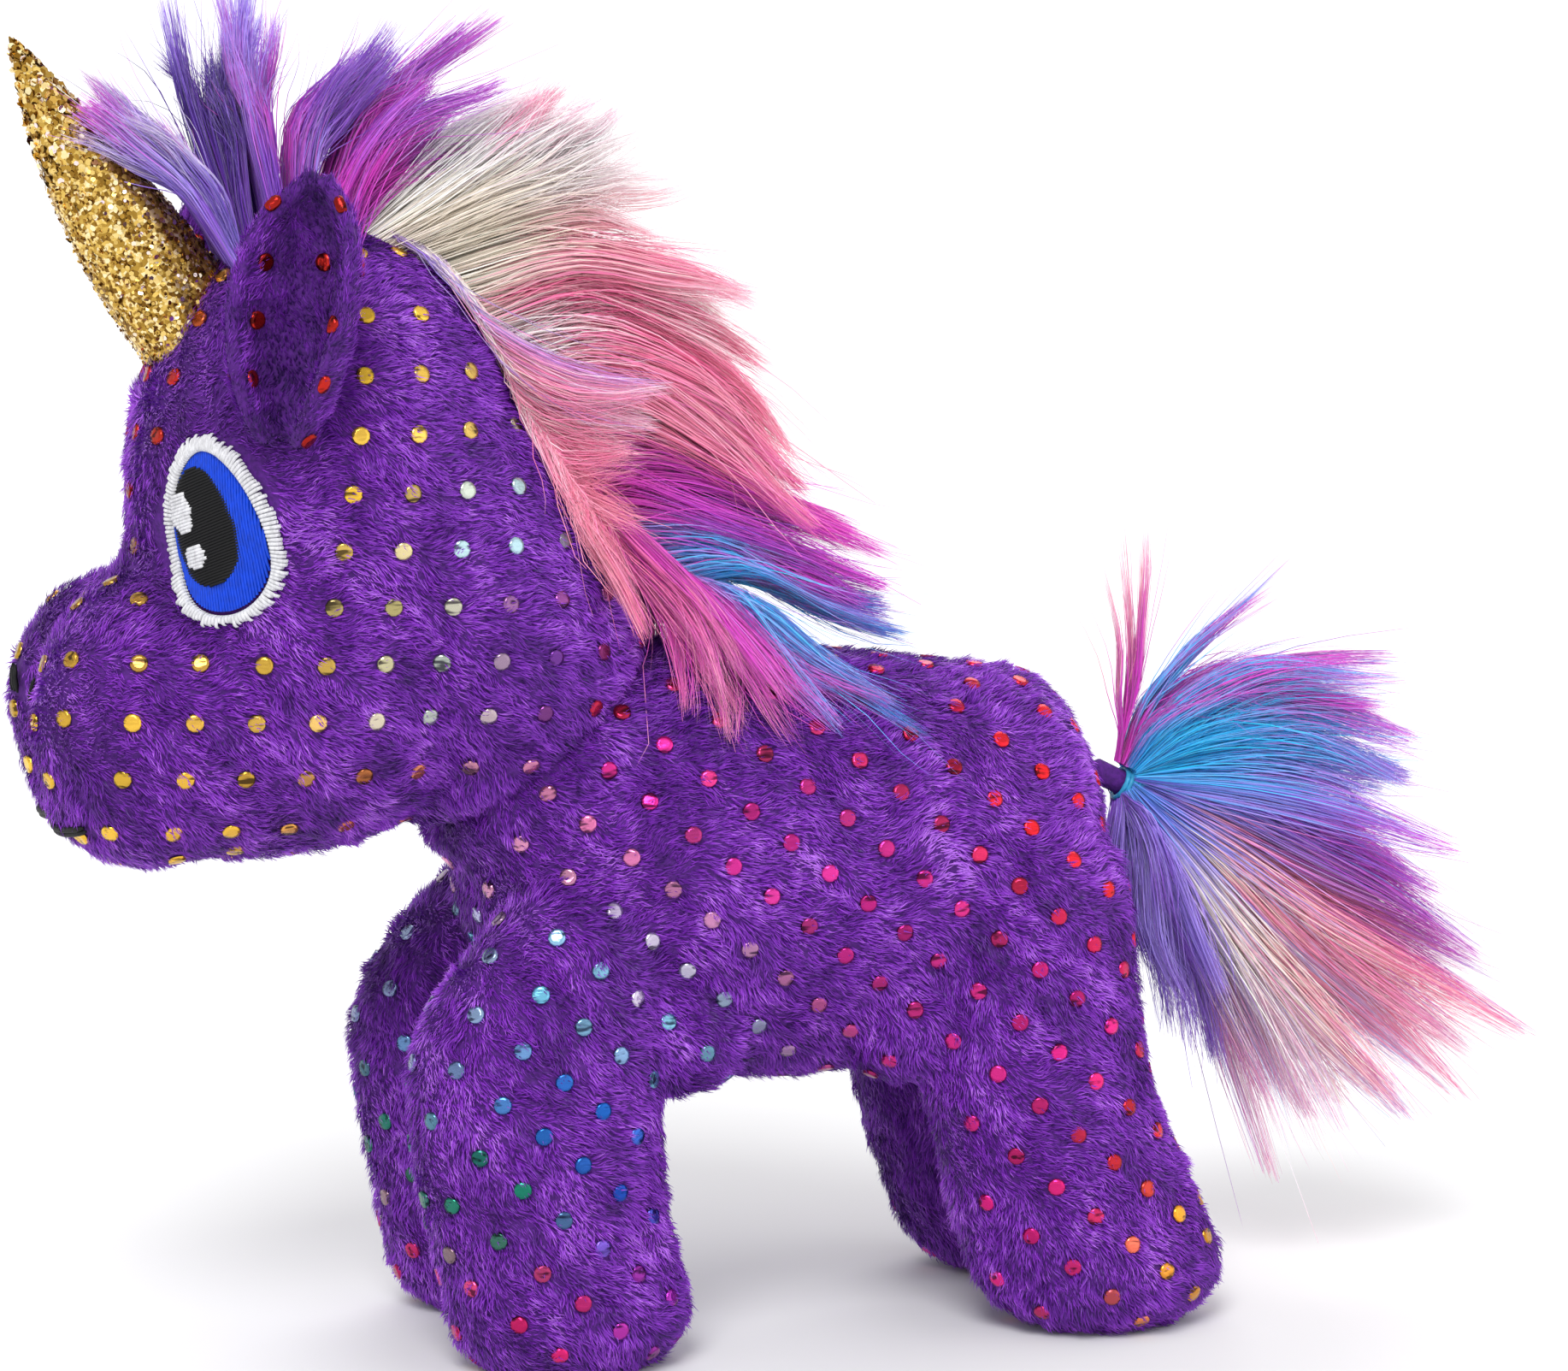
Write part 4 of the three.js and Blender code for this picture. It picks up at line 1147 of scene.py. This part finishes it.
MANE_TOP = [
    ([(-56, 0, 142), (-47, 0, 150.5), (-39, 0, 156.8), (-33.5, 0, 160)], [CREAM, PALE, PALE, PALE]),
    ([(-54, 0, 141), (-42, 0, 148), (-32.5, 0, 153), (-26, 0, 157)], [CREAM, CREAM, PALE, PINK]),
    ([(-52, 0, 140), (-39, 0, 145.8), (-29.5, 0, 149), (-22, 0, 152)], [CREAM, CREAM, PALE, PALE]),
    ([(-48.5, 0, 138), (-34, 0, 142.6), (-24.5, 0, 142.6), (-13.5, 0, 139.5)], [CREAM, CREAM, SALMON, PALE]),
    ([(-45.5, 0, 136), (-31, 0, 139.5), (-17, 0, 138), (-4.5, 0, 134)], [CREAM, CREAM, PINK, SALMON]),
    ([(-42, 0, 132), (-29.5, 0, 135.5), (-17, 0, 131), (-8, 0, 126)], [CREAM, PINK, SALMON, PALE]),
    ([(-39, 0, 129), (-25, 0, 132.4), (-10.5, 0, 126), (-2.5, 0, 117.5)], [PALE, PINK, PINK, SALMON]),
    ([(-36.5, 0, 124), (-23, 0, 126), (-9, 0, 118.5), (-1.7, 0, 109.5)], [CREAM, PINK, SALMON, PINK]),
    ([(-33.5, 0, 118), (-21.5, 0, 118.2), (-9, 0, 110.5), (3, 0, 102.5)], [PINK, SALMON, PINK, MAGENTA]),
    ([(-29.5, 0, 112), (-17, 0, 112), (-2.5, 0, 106.5), (13, 0, 99.5)], [PINK, MAGENTA, MAGENTA, MAGENTA]),
    ([(-25, 0, 106), (-13, 0, 105.7), (0, 0, 101), (11.5, 0, 97)], [MAGENTA, MAGENTA, VIOLET, MAGENTA]),
    ([(-21, 0, 100), (-11.5, 0, 101), (0.5, 0, 94.7), (10, 0, 91.5)], [MAGENTA, SKY, MAGENTA, VIOLET]),
    ([(-18, 0, 96), (-6, -1, 97), (5, -3, 92), (17, -6, 88)], [MAGENTA, SKY, SKY, DEEP_SKY]),
]
MANE_SIDE = [
    ([(-54, -2, 140), (-50, -6, 137), (-41.5, -9, 132), (-27, -9, 131)], [VIOLET, LILAC, LILAC, VIOLET]),
    ([(-47, -2, 137), (-43, -7, 129), (-35, -11, 123.5), (-22, -11, 122)], [CREAM, CREAM, PINK, PALE]),
    ([(-42, -2, 132), (-40, -8, 121), (-36, -12, 113), (-26.5, -13, 111)], [CREAM, PALE, PINK, SALMON]),
    ([(-36, -2, 122), (-32.5, -9, 113), (-28.5, -14, 104), (-23.5, -16, 92)], [PALE, PINK, SALMON, PINK]),
    ([(-31, -2, 114), (-26, -9, 104), (-21, -14, 96), (-15, -18, 88)], [PINK, MAGENTA, PINK, MAGENTA]),
    ([(-25.5, -2, 108), (-19, -9, 101), (-15, -15, 91.5), (-15.5, -21, 77.5)], [PINK, MAGENTA, MAGENTA, SALMON]),
    ([(-20, -2, 101), (-13, -8, 95), (-6.5, -13, 88), (0, -17, 83)], [MAGENTA, MAGENTA, MAGENTA, MAGENTA]),
    ([(-18, -2, 97), (-6.5, -8, 95), (2, -13, 87), (15, -19, 78.5)], [MAGENTA, SKY, SKY, DEEP_SKY]),
]
TAIL = [
    ([(46.6, 0, 70), (49.5, 0, 76), (54, 0, 80), (60, -1, 82.5)], [MAGENTA, MAGENTA, MAGENTA, LILAC]),
    ([(46.8, 0, 70), (52, 0, 76.6), (64, 0, 81.5), (78, -1, 81.5)], [DEEP_SKY, SKY, MAGENTA, MAGENTA]),
    ([(47.2, 0, 69.8), (56, 0, 76.5), (69.5, 0, 78.7), (84.5, -2, 75.4)], [SKY, SKY, SKY, MAGENTA]),
    ([(47.4, 0, 69.2), (58, 0, 72), (72, 0, 72), (84.5, -2, 67.5)], [SKY, SKY, SKY, LILAC]),
    ([(47.4, 0, 68.8), (59.5, 0, 67.5), (74, 0, 64.2), (88, -1, 60.8)], [SKY, SKY, LILAC, MAGENTA]),
    ([(47.4, 0, 68.4), (60.5, -1, 64.2), (76.4, -1, 56.3), (93, 0, 45)], [VIOLET, LILAC, VIOLET, MAGENTA]),
    ([(47.2, 0, 68), (60.5, -2, 59.7), (80, -2, 47.5), (105, -1, 34)], [DEEP_SKY, LILAC, SALMON, PINK, VIOLET]),
    ([(47, 0, 67.7), (58.3, -3, 57.4), (75.5, -3, 43.5), (98, -2, 24.5)], [DEEP_SKY, LILAC, CREAM, PINK, SALMON]),
    ([(46.8, 0, 67.4), (56, -3, 56.3), (68, -4, 40.5), (85, -3, 24.5)], [DEEP_SKY, LILAC, CREAM, PINK, SKY]),
    ([(46.5, 0, 67.2), (53.7, -2, 56.3), (62.8, -4, 38.5), (72.8, -3, 16.5)], [SKY, LILAC, CREAM, PALE, PINK]),
    ([(46.2, 0, 67), (50.3, -1, 58.5), (56, -2, 47.4), (59.3, -2, 32.8)], [DEEP_SKY, LILAC, VIOLET, LILAC]),
    ([(45.9, 0, 66.8), (48, 0, 62), (50.3, -1, 50.7), (57, -1, 39.5)], [DEEP_SKY, LILAC, LILAC, VIOLET]),
    ([(45.7, 0, 66.6), (46.9, 0, 64), (46.9, 0, 57.4), (49.2, 0, 48.5)], [VIOLET, VIOLET, LILAC, VIOLET]),
]


TAIL_WISPS = [
    ([(45.8, 0, 70.5), (47.5, 0, 78.5), (48.8, 0, 88), (48, -1, 103)], [MAGENTA, MAGENTA, MAGENTA, SALMON]),
    ([(46.3, 0, 70.3), (50, 0, 77.5), (57.5, 0, 85), (68.5, 0, 93.5)], [MAGENTA, MAGENTA, SKY, MAGENTA]),
]


def parted(rows, way=1, shift=0.0):
    """Guides and colours of a table; way -1 mirrors them to the other side."""
    guides = [[(x, y * way + shift, z) for x, y, z in guide] for guide, _ in rows]
    return guides, [colours for _, colours in rows]


def add_forelock(tree):
    for k, first in enumerate(range(0, len(FORELOCK) - 1, 2)):
        rows = FORELOCK[first : first + 3] if first == len(FORELOCK) - 3 else FORELOCK[first : first + 2]
        add_fur(f"forelock_lock_{k}", "forelock", 71 + k, *parted(rows), 2300, 8, (5, 4), [tree], gather=0.96, fray=3.0)
        if first == len(FORELOCK) - 3:
            break
    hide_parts("forelock_fur")


def add_mane(tree):
    """The hair's roots would stay on the head and its free ends sway; the sway is worked out, but the hair is only left
    in place.
    """
    trees = [tree]
    hinge = joint_place("mane_sway")
    axis = JOINTS["mane_sway"]["axis"]
    out = unit(np.cross(axis, [0, 1, 0]))
    out = out * np.sign(out[0])
    sway = ("head", "mane", hinge * MM, (hinge + out * MANE_BEND) * MM)
    first = add_fur("mane_crest", sway, 81, *parted(MANE_TOP), 15000, 56, (4, 5), trees, gather=0.92)
    add_fur("mane_left_side", sway, 82, *parted(MANE_SIDE), 7000, 34, (2, 3), trees, gather=0.92)
    add_fur("mane_right_side", sway, 83, *parted(MANE_SIDE, -1), 7000, 34, (2, 3), trees, gather=0.92)
    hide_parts("mane_fur", "mane_backing_strip")


def add_tail(tree):
    first = add_fur("tail_middle", "tail", 91, *parted(TAIL), 9000, 46, (1.2, 5), [tree], gather=0.9)
    add_fur("tail_left", "tail", 92, *parted(TAIL, 1, -1), 5000, 26, (1.5, 9), [tree], gather=0.9)
    add_fur("tail_right", "tail", 93, *parted(TAIL, -1, 1), 5000, 26, (1.5, 9), [tree], gather=0.9)
    for k, row in enumerate(TAIL_WISPS):
        add_fur(f"tail_wisp_{k}", "tail", 94 + k, *parted([row, row]), 350, 4, (0.8, 2), [tree], gather=0.93, fray=1.5)
    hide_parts("tail_fur")


def add_tie():
    """Turns of thread round the tail's root."""
    place = joint_place("tail_lift") - ORIGIN
    away = unit(joint_place("tail_wag") - joint_place("tail_lift"))
    side = np.array([0, 1.0, 0])
    up = np.cross(away, side)
    turns, steps = 7, 16
    angle = np.linspace(0, 2 * np.pi * turns, turns * steps)
    share = angle / angle[-1]
    radius = 1.9 + 0.7 * np.sin(np.pi * share)
    line = place + away * (0.4 + 3.4 * share)[:, None] + radius[:, None] * (side * np.cos(angle)[:, None] + up * np.sin(angle)[:, None])
    tie = cord_mesh("tail_tie_turns", line, 0.75, TURQUOISE)
    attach(tie, "tail_root")
    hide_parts("tail_tie_thread")
    core_line = place + away * np.linspace(-4.5, 3.6, 9)[:, None]
    core = cord_mesh("tail_root_roll", core_line, 3.2, BACKING, 16)
    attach(core, "tail_root")
    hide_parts("tail_core")


def stand_for_fills():
    """The stuffing and cloth solids are all behind the skins."""
    stands = {
        "torso_skin": ["belly_panel", "torso_left_panel", "torso_right_panel", "torso_fill"],
        "neck_skin": ["neck_fill"],
        "head_skin": ["head_gusset", "head_left_panel", "head_right_panel", "head_fill"],
    }
    for where in LEGS:
        for side in SIDES:
            name = f"{where}_{side}"
            nodes = [f"{name}_leg_outer_cover", f"{name}_leg_inner_cover", f"{name}_leg_fill", f"{name}_sole"]
            stands[f"{name}_leg_skin"] = nodes
    for piece, nodes in stands.items():
        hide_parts(*nodes)


add_camera()
add_studio()
tree = add_form()
for side in SIDES:
    add_eye(side, tree)
    add_ear(side)
add_mouth(tree)
add_horn()
add_forelock(tree)
add_mane(tree)
add_tie()
add_tail(tree)
stand_for_fills()
